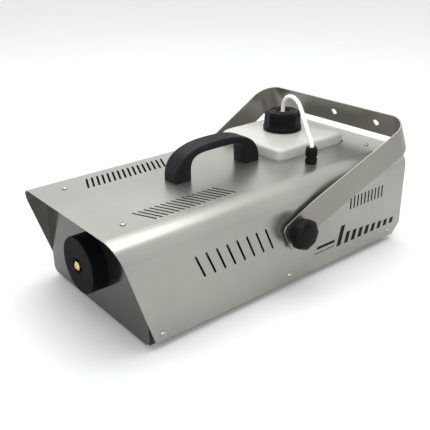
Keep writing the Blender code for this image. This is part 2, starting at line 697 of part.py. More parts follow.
def build_tank():
    foot = SHELF_TOP + GAP
    wall = TANK_WALL
    inner_neck = NECK_RADIUS - wall
    rings = [
        tank_ring(foot, 6.0), tank_ring(foot + 5, 0.0), tank_ring(TANK_SHOULDER - 5, 0.0),
        tank_ring(TANK_SHOULDER - 1, 2.0), tank_ring(TANK_SHOULDER + 0.8, 7.0),
        tank_ring(TANK_SHOULDER + 2.6, 0.0, 0.8), tank_ring(TANK_SHOULDER + 3.4, 0.0, 1.0),
        tank_ring(NECK_TOP, 0.0, 1.0), tank_ring(NECK_TOP, 0.0, 1.0, inner_neck),
        tank_ring(TANK_SHOULDER + 1.2, 0.0, 1.0, inner_neck), tank_ring(TANK_SHOULDER - 1.2, 8.0),
        tank_ring(TANK_SHOULDER - 6, wall), tank_ring(foot + 6, wall), tank_ring(foot + wall, 7.0),
    ]
    add_object("tank", loft(rings), milky_plastic())
    floor = TRAY_Z + SHEET + GAP
    (x, y), (half_x, half_y) = TANK_CENTRE, TANK_HALF
    deck = [(x - half_x, floor), (x - half_x, SHELF_TOP), (x + half_x, SHELF_TOP),
            (x + half_x, floor), (x + half_x - SHEET, floor), (x + half_x - SHEET, SHELF_TOP - SHEET),
            (x - half_x + SHEET, SHELF_TOP - SHEET), (x - half_x + SHEET, floor)]
    add_object("tank_shelf", prism(deck, "Y", y - half_y, y + half_y), plain_steel())


def build_cap():
    inner, under = NECK_RADIUS + 1.0, NECK_TOP + 2.0
    profile = [
        (BORE, under), (inner, under), (inner, CAP_BASE), (CAP_RADIUS + 1.5, CAP_BASE),
        (CAP_RADIUS + 1.5, CAP_BASE + 4), (CAP_RADIUS, CAP_BASE + 8, True),
        (CAP_RADIUS, CAP_TOP - 3, True), (CAP_RADIUS - 2.5, CAP_TOP, True), (16.0, CAP_TOP),
        (14.0, CAP_TOP - 3), (BORE, CAP_TOP - 3), (BORE, under),
    ]
    bm = turned(profile, TANK_CENTRE, "Z", 32, 8)
    add_object("tank_cap", bm, black_plastic(), (*TANK_CENTRE, CAP_BASE))


def build_hose_and_gland():
    x, y = TANK_CENTRE
    dip = [(x, y, 40.0 + i * (HOSE_ROUTE[0][2] - GAP - 40.0) / 4) for i in range(5)]
    tube("dip_tube", dip, HOSE_RADIUS, milky_plastic())
    foot = SHELF_TOP + GAP + TANK_WALL + 1.5
    strainer = [(6.0, foot), (7.0, foot + 1), (7.0, 38.0), (5.0, 39.7)]
    add_object("suction_filter", turned(strainer, TANK_CENTRE, "Z", 12), black_plastic())
    tube("suction_hose", smooth_path(HOSE_ROUTE, 7.0), HOSE_RADIUS, milky_plastic())
    bore = [(BORE, HOSE_FOOT - 4)]
    body = [(7.4, HOSE_FOOT - 4), (7.4, TOP + GAP), (8.6, TOP + GAP, True), (8.6, TOP + 7, True),
            (6.6, TOP + 7), (6.6, TOP + 9), (BORE, TOP + 9)]
    add_object("gland_body", turned(bore + body + bore, GLAND, "Z", 16, 6), black_plastic())
    nut = [(BORE, TOP + 9 + GAP), (7.6, TOP + 9 + GAP, True), (8.2, TOP + 12, True),
           (8.2, GLAND_TOP - 3, True), (6.2, GLAND_TOP), (BORE, GLAND_TOP), (BORE, TOP + 9 + GAP)]
    add_object("gland_nut", turned(nut, GLAND, "Z", 16, 8), black_plastic())
    lock = [(11.0, INSIDE_TOP - 5, True), (11.0, INSIDE_TOP, True), (7.9, INSIDE_TOP),
            (7.9, INSIDE_TOP - 5), (11.0, INSIDE_TOP - 5, True)]
    add_object("gland_locknut", turned(lock, GLAND, "Z", 12, 6), black_plastic())


def main():
    for obj in list(bpy.data.objects):
        bpy.data.objects.remove(obj, do_unlink=True)
    build_cover()
    build_tray()
    build_front_plate()
    build_rear_panel()
    build_screws()
    build_feet()
    build_handle()
    build_yoke()
    build_pivots()
    build_nozzle()
    build_heater()
    build_pump()
    build_control_board()
    build_inlet()
    build_switch()
    build_fuse_and_remote()
    build_tank()
    build_cap()
    build_hose_and_gland()


main()
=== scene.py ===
"""Looks of the fog machine: satin sheet steel, moulded black fittings, a milky tank and its hose.

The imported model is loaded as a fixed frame, and each class below dresses one sub-assembly of it.
Everything is in metres, in the frame's own coordinates: the nozzle looks along -Y and +Z is up.
"""

from __future__ import annotations

import logging
import math
from dataclasses import dataclass, field
from enum import Enum
from typing import Callable, Iterable, Sequence

import bmesh
import bpy
from mathutils import Matrix, Vector


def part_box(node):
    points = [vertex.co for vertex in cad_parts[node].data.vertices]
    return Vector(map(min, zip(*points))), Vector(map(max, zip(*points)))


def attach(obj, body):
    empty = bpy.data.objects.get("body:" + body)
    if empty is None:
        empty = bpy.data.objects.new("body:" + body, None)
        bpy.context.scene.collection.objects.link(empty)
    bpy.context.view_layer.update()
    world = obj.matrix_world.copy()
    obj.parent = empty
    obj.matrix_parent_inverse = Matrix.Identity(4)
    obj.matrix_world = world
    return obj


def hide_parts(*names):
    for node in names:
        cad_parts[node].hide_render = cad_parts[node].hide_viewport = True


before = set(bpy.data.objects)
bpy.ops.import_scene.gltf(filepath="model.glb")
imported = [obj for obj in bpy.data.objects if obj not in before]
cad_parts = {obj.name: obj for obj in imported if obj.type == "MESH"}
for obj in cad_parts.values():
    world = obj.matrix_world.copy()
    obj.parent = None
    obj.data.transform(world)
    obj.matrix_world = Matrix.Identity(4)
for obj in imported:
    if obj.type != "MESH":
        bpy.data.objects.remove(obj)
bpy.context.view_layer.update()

LOG = logging.getLogger("fog_machine")
MM = 0.001
PIVOT = (15.5 * MM, 83.7 * MM)  # the yoke's axis, as (Y, Z)
BOLT_HOLE = 4.6 * MM  # radius of the clamp stud's hole in the cover and in the yoke
GLAND = (69.0 * MM, 94.0 * MM)  # where the hose enters the cover, as (X, Y)
Point = tuple[float, float, float]
Outline = list[tuple[float, float]]


# ---------------------------------------------------------------- shader building


class Sock:
    """A shader value whose arithmetic adds Math nodes."""

    def __init__(self, sheet: "Sheet", link: bpy.types.NodeSocket) -> None:
        """Keeps the tree's sheet and the output socket that this value stands for."""
        self.sheet = sheet
        self.link = link

    def _math(self, operation: str, a: "Sock | float", b: "Sock | float") -> "Sock":
        """A Math node on two operands.

        Args:
            operation: The Math node's operation.
            a: The first operand.
            b: The second operand.

        Returns:
            The node's result.
        """
        return self.sheet.node("ShaderNodeMath", {"operation": operation}, {0: a, 1: b})

    def __add__(self, other: "Sock | float") -> "Sock":
        """Sum."""
        return self._math("ADD", self, other)

    def __radd__(self, other: "Sock | float") -> "Sock":
        """Reflected sum."""
        return self._math("ADD", other, self)

    def __sub__(self, other: "Sock | float") -> "Sock":
        """Difference."""
        return self._math("SUBTRACT", self, other)

    def __mul__(self, other: "Sock | float") -> "Sock":
        """Product."""
        return self._math("MULTIPLY", self, other)


class Sheet:
    """One material's node tree, with a single way to add any node."""

    def __init__(self, name: str) -> None:
        """Starts a material of this name with an empty tree and its output."""
        self.material = bpy.data.materials.new(name)
        self.material.use_nodes = True
        self.nodes = self.material.node_tree.nodes
        self.links = self.material.node_tree.links
        self.nodes.clear()
        self.output = self.nodes.new("ShaderNodeOutputMaterial")

    def node(self, kind: str, settings: dict | None = None, inputs: dict | None = None,
             out: int | str = 0) -> Sock:
        """Adds a node.

        Args:
            kind: The node's type.
            settings: Attributes, set before the inputs.
            inputs: Values or links, by input name or number.
            out: Which output to hand back.

        Returns:
            The chosen output.
        """
        made = self.nodes.new(kind)
        for key, value in (settings or {}).items():
            setattr(made, key, value)
        for key, value in (inputs or {}).items():
            if isinstance(value, Sock):
                self.links.new(value.link, made.inputs[key])
            elif value is not None:
                made.inputs[key].default_value = value
        return Sock(self, made.outputs[out])

    def place(self, stretch: Point = (1.0, 1.0, 1.0), about: Point = (0.0, 0.0, 0.0)) -> Sock:
        """Object coordinates, centred on a point and stretched.

        Args:
            stretch: Scale along each axis.
            about: The point that becomes the pattern's centre.

        Returns:
            The coordinate vector.
        """
        raw = self.node("ShaderNodeTexCoord", out="Object")
        offset = tuple(-a * s for a, s in zip(about, stretch))
        return self.node("ShaderNodeMapping", {}, {"Vector": raw, "Location": offset, "Scale": stretch})

    def noise(self, where: Sock, scale: float, detail: float = 2.0, rough: float = 0.5) -> Sock:
        """Noise from 0 to 1 at a scale in features per metre."""
        values = {"Vector": where, "Scale": scale, "Detail": detail, "Roughness": rough}
        return self.node("ShaderNodeTexNoise", {}, values)

    def ramp(self, value: Sock, low: float, high: float) -> Sock:
        """The value mapped from low..high to 0..1, eased and clamped."""
        settings = {"interpolation_type": "SMOOTHSTEP"}
        return self.node("ShaderNodeMapRange", settings, {"Value": value, "From Min": low, "From Max": high})

    def mix(self, factor: "Sock | float", a: "Sock | Sequence[float]", b: "Sock | Sequence[float]") -> Sock:
        """Colour a where the factor is 0 and b where it is 1."""
        return self.node("ShaderNodeMix", {"data_type": "RGBA"}, {0: factor, 6: a, 7: b}, out=2)

    def bump(self, height: Sock, depth: float, strength: float = 1.0, under: Sock | None = None) -> Sock:
        """A bumped normal.

        Args:
            height: The height, from 0 to 1.
            depth: What a height of 1 is, in metres.
            strength: How much of the bump is used.
            under: A normal to bump further.

        Returns:
            The normal.
        """
        values = {"Height": height, "Distance": depth, "Strength": strength, "Normal": under}
        return self.node("ShaderNodeBump", {}, values)

    def finish(self, **inputs: "Sock | float | Sequence[float]") -> bpy.types.Material:
        """Closes the tree with a Principled shader.

        Args:
            **inputs: Its inputs, with underscores for spaces.

        Returns:
            The material.
        """
        named = {key.replace("_", " "): value for key, value in inputs.items()}
        shader = self.node("ShaderNodeBsdfPrincipled", {}, named)
        self.links.new(shader.link, self.output.inputs["Surface"])
        return self.material


def colour(red: float, green: float, blue: float) -> tuple[float, float, float, float]:
    """A linear colour with full alpha."""
    return (red, green, blue, 1.0)


def scaled(shade: Sequence[float], factor: float) -> tuple[float, float, float, float]:
    """A colour made lighter or darker."""
    return colour(*(min(1.0, c * factor) for c in shade[:3]))


class Brush(Enum):
    """Which way a sheet's grain runs."""

    ALONG_X = (6.0, 420.0, 420.0)
    ALONG_Z = (420.0, 420.0, 6.0)
    NONE = (160.0, 160.0, 160.0)


@dataclass(frozen=True)
class Steel:
    """Satin stainless or zinc-plated sheet, with fine grain and faint handling marks."""

    name: str
    shade: tuple[float, float, float] = (0.330, 0.324, 0.296)
    roughness: float = 0.32
    grain: Brush = Brush.ALONG_X
    metallic: float = 0.9
    grain_depth: float = 0.000012

    def make(self) -> bpy.types.Material:
        """Builds the material."""
        s = Sheet(self.name)
        fine = s.noise(s.place(self.grain.value), 1.0, 4.0, 0.65)
        cloud = s.noise(s.place(), 9.0, 3.0, 0.55)
        smear = s.ramp(s.noise(s.place((1.0, 1.0, 1.0), (0.3, 0.1, 0.2)), 26.0, 4.0, 0.6), 0.55, 0.78)
        tone = s.mix(s.ramp(cloud, 0.3, 0.7), scaled(self.shade, 0.94), scaled(self.shade, 1.06))
        tone = s.mix(fine * 0.35, tone, scaled(self.shade, 0.84))
        rough = self.roughness + (fine - 0.5) * 0.14 + (cloud - 0.5) * 0.1 + smear * 0.05
        normal = s.bump(fine, self.grain_depth, 0.5)
        return s.finish(Base_Color=tone, Metallic=self.metallic, Roughness=rough, Normal=normal)


@dataclass(frozen=True)
class Moulding:
    """Moulded plastic with a spark-eroded skin and slightly rubbed high spots."""

    name: str
    shade: tuple[float, float, float] = (0.006, 0.006, 0.007)
    roughness: float = 0.42
    grain: float = 2400.0
    grain_depth: float = 0.00003
    gloss: float = 0.06

    def make(self) -> bpy.types.Material:
        """Builds the material."""
        s = Sheet(self.name)
        skin = s.noise(s.place(), self.grain, 3.0, 0.6)
        wear = s.noise(s.place(), 38.0, 3.0, 0.6)
        tone = s.mix(s.ramp(wear, 0.45, 0.75), scaled(self.shade, 0.85), scaled(self.shade, 1.5))
        rough = self.roughness + (skin - 0.5) * 0.16 + (wear - 0.5) * 0.14
        return s.finish(Base_Color=tone, Roughness=rough, Normal=s.bump(skin, self.grain_depth, 0.6),
                        Specular_IOR_Level=self.gloss)


@dataclass(frozen=True)
class Milky:
    """Unpigmented polyethylene: waxy, light-scattering, with faint mould marks."""

    name: str
    shade: tuple[float, float, float] = (0.40, 0.40, 0.375)
    depth: float = 0.006
    roughness: float = 0.24

    def make(self) -> bpy.types.Material:
        """Builds the material."""
        s = Sheet(self.name)
        wax = s.noise(s.place(), 14.0, 3.0, 0.5)
        pores = s.noise(s.place(), 900.0, 2.0, 0.5)
        tone = s.mix(s.ramp(wax, 0.3, 0.7), scaled(self.shade, 0.95), scaled(self.shade, 1.04))
        rough = self.roughness + (wax - 0.5) * 0.16
        normal = s.bump(pores, 0.00002, 0.4, s.bump(wax, 0.0008, 0.25))
        return s.finish(Base_Color=tone, Roughness=rough, Normal=normal, Subsurface_Weight=0.35,
                        Subsurface_Scale=self.depth, Subsurface_Radius=(1.0, 0.95, 0.85))


@dataclass(frozen=True)
class Metal:
    """Turned or cast metal with fine machining or casting texture."""

    name: str
    shade: tuple[float, float, float]
    roughness: float
    grain: float = 700.0
    grain_depth: float = 0.00002

    def make(self) -> bpy.types.Material:
        """Builds the material."""
        s = Sheet(self.name)
        turn = s.noise(s.place(), self.grain, 3.0, 0.6)
        age = s.noise(s.place(), 60.0, 3.0, 0.6)
        tone = s.mix(s.ramp(age, 0.4, 0.75), colour(*self.shade), scaled(self.shade, 0.7))
        rough = self.roughness + (turn - 0.5) * 0.15 + (age - 0.5) * 0.15
        return s.finish(Base_Color=tone, Metallic=1.0, Roughness=rough, Normal=s.bump(turn, self.grain_depth))


@dataclass(frozen=True)
class Matt:
    """Rough dull stuff: wool, board, varnished laminations."""

    name: str
    shade: tuple[float, float, float]
    roughness: float = 0.8
    grain: float = 900.0
    grain_depth: float = 0.0002

    def make(self) -> bpy.types.Material:
        """Builds the material."""
        s = Sheet(self.name)
        fibre = s.noise(s.place((1.0, 0.3, 1.0)), self.grain, 4.0, 0.7)
        tone = s.mix(fibre, scaled(self.shade, 0.75), scaled(self.shade, 1.15))
        rough = self.roughness + (fibre - 0.5) * 0.2
        return s.finish(Base_Color=tone, Roughness=rough, Normal=s.bump(fibre, self.grain_depth))


@dataclass
class Finishes:
    """Every material of the machine, made once."""

    cover: bpy.types.Material = field(default_factory=Steel("cover_satin_steel").make)
    plate: bpy.types.Material = field(
        default_factory=Steel("front_plate_steel", (0.085, 0.087, 0.080), 0.15).make)
    yoke: bpy.types.Material = field(
        default_factory=Steel("yoke_satin_steel", (0.262, 0.255, 0.228), 0.36, Brush.ALONG_Z).make)
    zinc: bpy.types.Material = field(
        default_factory=Steel("zinc_plate", (0.42, 0.42, 0.41), 0.34, Brush.NONE, 0.95, 0.00003).make)
    black: bpy.types.Material = field(default_factory=Moulding("black_moulding").make)
    grip: bpy.types.Material = field(
        default_factory=Moulding("handle_moulding", (0.006, 0.006, 0.007), 0.44, 1500.0, 0.00005, 0.16).make)
    drum: bpy.types.Material = field(
        default_factory=Moulding("guard_moulding", (0.004, 0.004, 0.0055), 0.5, 3000.0, 0.00002, 0.03).make)
    rubber: bpy.types.Material = field(
        default_factory=Moulding("foot_rubber", (0.008, 0.008, 0.008), 0.75, 1200.0, 0.00006, 0.2).make)
    red: bpy.types.Material = field(
        default_factory=Moulding("rocker_red", (0.42, 0.012, 0.012), 0.22, 2500.0, 0.00001, 0.5).make)
    milky: bpy.types.Material = field(default_factory=Milky("milky_polyethylene").make)
    hose: bpy.types.Material = field(
        default_factory=Milky("hose_tube", (0.72, 0.71, 0.64), 0.003, 0.4).make)
    brass: bpy.types.Material = field(default_factory=Metal("brass", (0.78, 0.54, 0.20), 0.26).make)
    cast: bpy.types.Material = field(
        default_factory=Metal("cast_aluminium", (0.6, 0.6, 0.6), 0.5, 500.0, 0.0001).make)
    wool: bpy.types.Material = field(default_factory=Matt("mineral_wool", (0.72, 0.69, 0.58), 0.9).make)
    board: bpy.types.Material = field(
        default_factory=Matt("board_green", (0.03, 0.16, 0.06), 0.45, 2000.0, 0.00003).make)
    core: bpy.types.Material = field(
        default_factory=Matt("transformer_core", (0.10, 0.09, 0.08), 0.6, 1500.0, 0.0001).make)
    coil: bpy.types.Material = field(
        default_factory=Moulding("coil_epoxy", (0.02, 0.035, 0.09), 0.4).make)


# ---------------------------------------------------------------- mesh building


def add_piece(name: str, bm: bmesh.types.BMesh, material: bpy.types.Material, body: str,
              nodes: Sequence[str] = (), smooth: float = 35.0) -> bpy.types.Object:
    """Makes a finished piece, at the origin with its place in its mesh.

    Args:
        name: The piece's name.
        bm: Its mesh in metres, which is freed.
        material: Its finish.
        body: The CAD body it rides on.
        nodes: The CAD nodes it stands for.
        smooth: Edges sharper than this angle in degrees stay sharp.

    Returns:
        The piece.
    """
    bmesh.ops.recalc_face_normals(bm, faces=bm.faces)
    mesh = bpy.data.meshes.new(name)
    bm.to_mesh(mesh)
    bm.free()
    mesh.shade_smooth()
    mesh.set_sharp_from_angle(angle=math.radians(smooth))
    mesh.materials.append(material)
    obj = bpy.data.objects.new(name, mesh)
    bpy.context.scene.collection.objects.link(obj)
    return adopt(obj, body, nodes)


def adopt(obj: bpy.types.Object, body: str, nodes: Sequence[str] = ()) -> bpy.types.Object:
    """Lets a piece ride on a body and stand for CAD nodes, and reports it."""
    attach(obj, body)
    if nodes:
        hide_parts(*nodes)
    LOG.info("%s rides on %s", obj.name, body)
    return obj


def bake(obj: bpy.types.Object, name: str) -> bpy.types.Object:
    """Turns an object with live modifiers into a plain mesh object, and removes the old one."""
    bpy.context.view_layer.update()
    graph = bpy.context.evaluated_depsgraph_get()
    mesh = bpy.data.meshes.new_from_object(obj.evaluated_get(graph))
    plain = bpy.data.objects.new(name, mesh)
    for tool in [m.object for m in obj.modifiers if m.type == "BOOLEAN"]:
        bpy.data.objects.remove(tool, do_unlink=True)
    bpy.data.objects.remove(obj, do_unlink=True)
    plain.name = name
    bpy.context.scene.collection.objects.link(plain)
    return plain


def insert(point: Sequence[float], axis: str, height: float) -> Point:
    """A 3-D point from two coordinates and a height along X, Y or Z."""
    at = list(point)
    at.insert("XYZ".index(axis), height)
    return tuple(at)


def skin(bm: bmesh.types.BMesh, rings: Sequence[Iterable[Point]], closed: bool = False,
         capped: bool = True) -> None:
    """Joins rings of equal count with quads.

    Args:
        bm: The mesh to add to.
        rings: The rings, in order.
        closed: Whether the last ring joins the first.
        capped: Whether an open run gets flat ends.
    """
    made = [[bm.verts.new(p) for p in ring] for ring in rings]
    pairs = list(zip(made, made[1:]))
    if closed:
        pairs.append((made[-1], made[0]))
    for first, second in pairs:
        for i in range(len(first)):
            j = (i + 1) % len(first)
            bm.faces.new((first[i], first[j], second[j], second[i]))
    if capped and not closed:
        bm.faces.new(made[0])
        bm.faces.new(made[-1])


def prism(bm: bmesh.types.BMesh, outline: Outline, axis: str, low: float, high: float) -> None:
    """Extrudes an outline of the other two coordinates along an axis."""
    skin(bm, [[insert(p, axis, h) for p in outline] for h in (low, high)])


def lathe(bm: bmesh.types.BMesh, profile: Sequence[tuple[float, float]], centre: tuple[float, float],
          axis: str, sides: int, shape: Callable[[float, float, float], float] | None = None) -> None:
    """Turns (radius, height) points about an axis.

    Args:
        bm: The mesh to add to.
        profile: The outline; one that ends where it starts makes a bored piece.
        centre: The axis's other two coordinates.
        axis: X, Y or Z.
        sides: How many steps go round.
        shape: Changes a radius by (radius, height, angle), for lobes and flats.
    """
    bored = profile[0] == profile[-1]
    rings = []
    for radius, height in profile[:-1] if bored else profile:
        ring = []
        for i in range(sides):
            a = math.tau * i / sides
            r = shape(radius, height, a) if shape else radius
            ring.append(insert((centre[0] + r * math.cos(a), centre[1] + r * math.sin(a)), axis, height))
        rings.append(ring)
    skin(bm, rings, closed=bored)


def flatted(count: int, least: float, share: float = 1.0, fade: float = 0.01 * MM,
            above: float = -1.0) -> Callable[[float, float, float], float]:
    """A lathe shape with flats, for hexagons and faceted knobs.

    Args:
        count: How many flats go round.
        least: Radii under this stay round.
        share: How far the round is flattened, from 0 to 1.
        fade: Over how much radius the flats come in.
        above: Heights under this stay round.

    Returns:
        The function that lathe takes.
    """
    step = math.tau / count

    def shape(radius: float, height: float, angle: float) -> float:
        if radius < least or height < above:
            return radius
        flat = math.cos(step / 2) / math.cos(angle % step - step / 2)
        return radius * (1 + (flat - 1) * share * min(1.0, (radius - least) / fade))

    return shape


def arc(centre: tuple[float, float], radius: float, start: float, end: float, steps: int) -> Outline:
    """Points on an arc, by angles in degrees."""
    turns = [math.radians(start + (end - start) * i / steps) for i in range(steps + 1)]
    return [(centre[0] + radius * math.cos(a), centre[1] + radius * math.sin(a)) for a in turns]


def soften(profile: Sequence[tuple[float, float]], radius: float, steps: int = 3) -> Outline:
    """Rounds the corners of an open profile.

    Args:
        profile: The corner points.
        radius: The largest corner radius, which shrinks on short runs.
        steps: Points per corner.

    Returns:
        The rounded profile, with its two end points kept.
    """
    points = [Vector(p) for p in profile]
    result = [tuple(points[0])]
    for before, at, after in zip(points, points[1:], points[2:]):
        cut = min(radius, (at - before).length * 0.45, (after - at).length * 0.45)
        a = at + (before - at).normalized() * cut
        b = at + (after - at).normalized() * cut
        for i in range(steps + 1):
            t = i / steps
            result.append(tuple(a * (1 - t) ** 2 + at * 2 * t * (1 - t) + b * t * t))
    result.append(tuple(points[-1]))
    return result


def super_ellipse(half: Sequence[float], power: float, count: int, centre: Sequence[float]) -> Outline:
    """A rounded rectangle by equal steps of polar angle."""
    points = []
    for i in range(count):
        a = math.tau * (i + 0.5) / count
        c, s = math.cos(a), math.sin(a)
        reach = (abs(c / half[0]) ** power + abs(s / half[1]) ** power) ** (-1 / power)
        points.append((centre[0] + reach * c, centre[1] + reach * s))
    return points


def smooth_path(route: Sequence[Point], spacing: float) -> list[Vector]:
    """Points read from a Catmull-Rom curve through a route's own points."""
    points = [Vector(p) for p in route]
    padded = [2 * points[0] - points[1], *points, 2 * points[-1] - points[-2]]
    path = []
    for a, b, c, d in zip(padded, padded[1:], padded[2:], padded[3:]):
        steps = max(1, round((c - b).length / spacing))
        for i in range(steps):
            t = i / steps
            path.append(0.5 * (2 * b + (c - a) * t + (2 * a - 5 * b + 4 * c - d) * t * t
                               + (3 * b - a - 3 * c + d) * t ** 3))
    return [*path, points[-1]]


def cut(obj: bpy.types.Object, tool: bmesh.types.BMesh) -> None:
    """Adds a Boolean difference with a tool mesh."""
    bmesh.ops.recalc_face_normals(tool, faces=tool.faces)
    mesh = bpy.data.meshes.new("tool")
    tool.to_mesh(mesh)
    tool.free()
    cutter = bpy.data.objects.new("tool", mesh)
    bpy.context.scene.collection.objects.link(cutter)
    modifier = obj.modifiers.new("Cut", "BOOLEAN")
    modifier.operation = "DIFFERENCE"
    modifier.solver = "EXACT"
    modifier.object = cutter
    bpy.context.view_layer.update()


def cut_piece(blank: bpy.types.Object, name: str, material: bpy.types.Material, body: str,
              nodes: Sequence[str]) -> None:
    """Bakes a cut sheet-steel blank and makes it a finished piece that stands for CAD nodes."""
    plain = bake(blank, name)
    plain.data.materials.clear()
    plain.data.materials.append(material)
    plain.data.shade_smooth()
    plain.data.set_sharp_from_angle(angle=math.radians(25))
    adopt(plain, body, nodes)


def repaint(node: str, material: bpy.types.Material) -> None:
    """Gives a CAD node that stays in view its finish."""
    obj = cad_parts[node]
    for held in obj.material_slots:
        held.material = material


# ---------------------------------------------------------------- repeated pieces


class Copies:
    """A Geometry Nodes tree that puts one piece on every point of a guide."""

    def __init__(self) -> None:
        """Builds the tree with its named inputs."""
        self.tree = bpy.data.node_groups.new("piece_on_points", "GeometryNodeTree")
        face = self.tree.interface
        face.new_socket("Points", in_out="INPUT", socket_type="NodeSocketGeometry")
        for label, kind in (("Piece", "NodeSocketObject"), ("Turn", "NodeSocketRotation"),
                            ("Finish", "NodeSocketMaterial")):
            face.new_socket(label, in_out="INPUT", socket_type=kind)
        face.new_socket("Copies", in_out="OUTPUT", socket_type="NodeSocketGeometry")
        names = {"into": "NodeGroupInput", "piece": "GeometryNodeObjectInfo",
                 "place": "GeometryNodeInstanceOnPoints", "real": "GeometryNodeRealizeInstances",
                 "paint": "GeometryNodeSetMaterial", "out": "NodeGroupOutput"}
        n = {key: self.tree.nodes.new(kind) for key, kind in names.items()}
        wires = (("into", "Points", "place", "Points"), ("into", "Piece", "piece", "Object"),
                 ("piece", "Geometry", "place", "Instance"), ("into", "Turn", "place", "Rotation"),
                 ("place", "Instances", "real", "Geometry"),
                 ("real", "Geometry", "paint", "Geometry"), ("into", "Finish", "paint", "Material"),
                 ("paint", "Geometry", "out", "Copies"))
        for source, output, target, socket in wires:
            self.tree.links.new(n[source].outputs[output], n[target].inputs[socket])

    def put(self, name: str, piece: bpy.types.Object, points: Sequence[Point],
            turn: Point = (0.0, 0.0, 0.0), finish: bpy.types.Material | None = None) -> bpy.types.Object:
        """Makes one plain mesh that holds a copy of the piece on each point.

        Args:
            name: The new object's name.
            piece: What is copied, modelled about the origin.
            points: Where the copies go.
            turn: Rotation of every copy, in radians.
            finish: Their material.

        Returns:
            The object, in the scene.
        """
        mesh = bpy.data.meshes.new(name + "_points")
        mesh.from_pydata(points, [], [])
        guide = bpy.data.objects.new(name + "_points", mesh)
        bpy.context.scene.collection.objects.link(guide)
        modifier = guide.modifiers.new("Copies", "NODES")
        modifier.node_group = self.tree
        values = {"Piece": piece, "Turn": turn, "Finish": finish}
        for item in self.tree.interface.items_tree:
            if item.in_out == "INPUT" and item.name in values:
                modifier[item.identifier] = values[item.name]
        return bake(guide, name)


def loose(bm: bmesh.types.BMesh, name: str) -> bpy.types.Object:
    """A helper object made from a bmesh, which its maker removes again."""
    bmesh.ops.recalc_face_normals(bm, faces=bm.faces)
    mesh = bpy.data.meshes.new(name)
    bm.to_mesh(mesh)
    bm.free()
    mesh.shade_smooth()
    mesh.set_sharp_from_angle(angle=math.radians(35))
    obj = bpy.data.objects.new(name, mesh)
    bpy.context.scene.collection.objects.link(obj)
    return obj


def merge(bm: bmesh.types.BMesh, obj: bpy.types.Object) -> None:
    """Moves a helper object's mesh into a bmesh."""
    bm.from_mesh(obj.data)
    bpy.data.objects.remove(obj, do_unlink=True)


def slot_tool(end: Sequence[float], width: float, depth: float, axis: str) -> bmesh.types.BMesh:
    """A round-ended slot cutter that starts at the origin.

    Args:
        end: The slot's other end, on the plane across the axis.
        width: The slot's width.
        depth: How far the cutter reaches each way.
        axis: The plane's normal.

    Returns:
        The cutter.
    """
    a, b = Vector((0.0, 0.0)), Vector(end)
    heading = math.degrees(math.atan2(b.y - a.y, b.x - a.x))
    run = (b - a).normalized() * (width / 2)
    outline = arc(tuple(b - run), width / 2, heading - 90, heading + 90, 6)
    outline += arc(tuple(a + run), width / 2, heading + 90, heading + 270, 6)
    bm = bmesh.new()
    prism(bm, outline, axis, -depth, depth)
    return bm


# ---------------------------------------------------------------- sub-assemblies


@dataclass(frozen=True)
class VentRow:
    """A row of equal slots that runs along Y on both sides of the middle, in millimetres."""

    axis: str  # Z for the top, X for the side walls
    first: float
    pitch: float
    count: int
    level: float  # out from the middle on top, up from the feet on a side
    run: tuple[float, float]  # from one end of a slot to the other, on its face


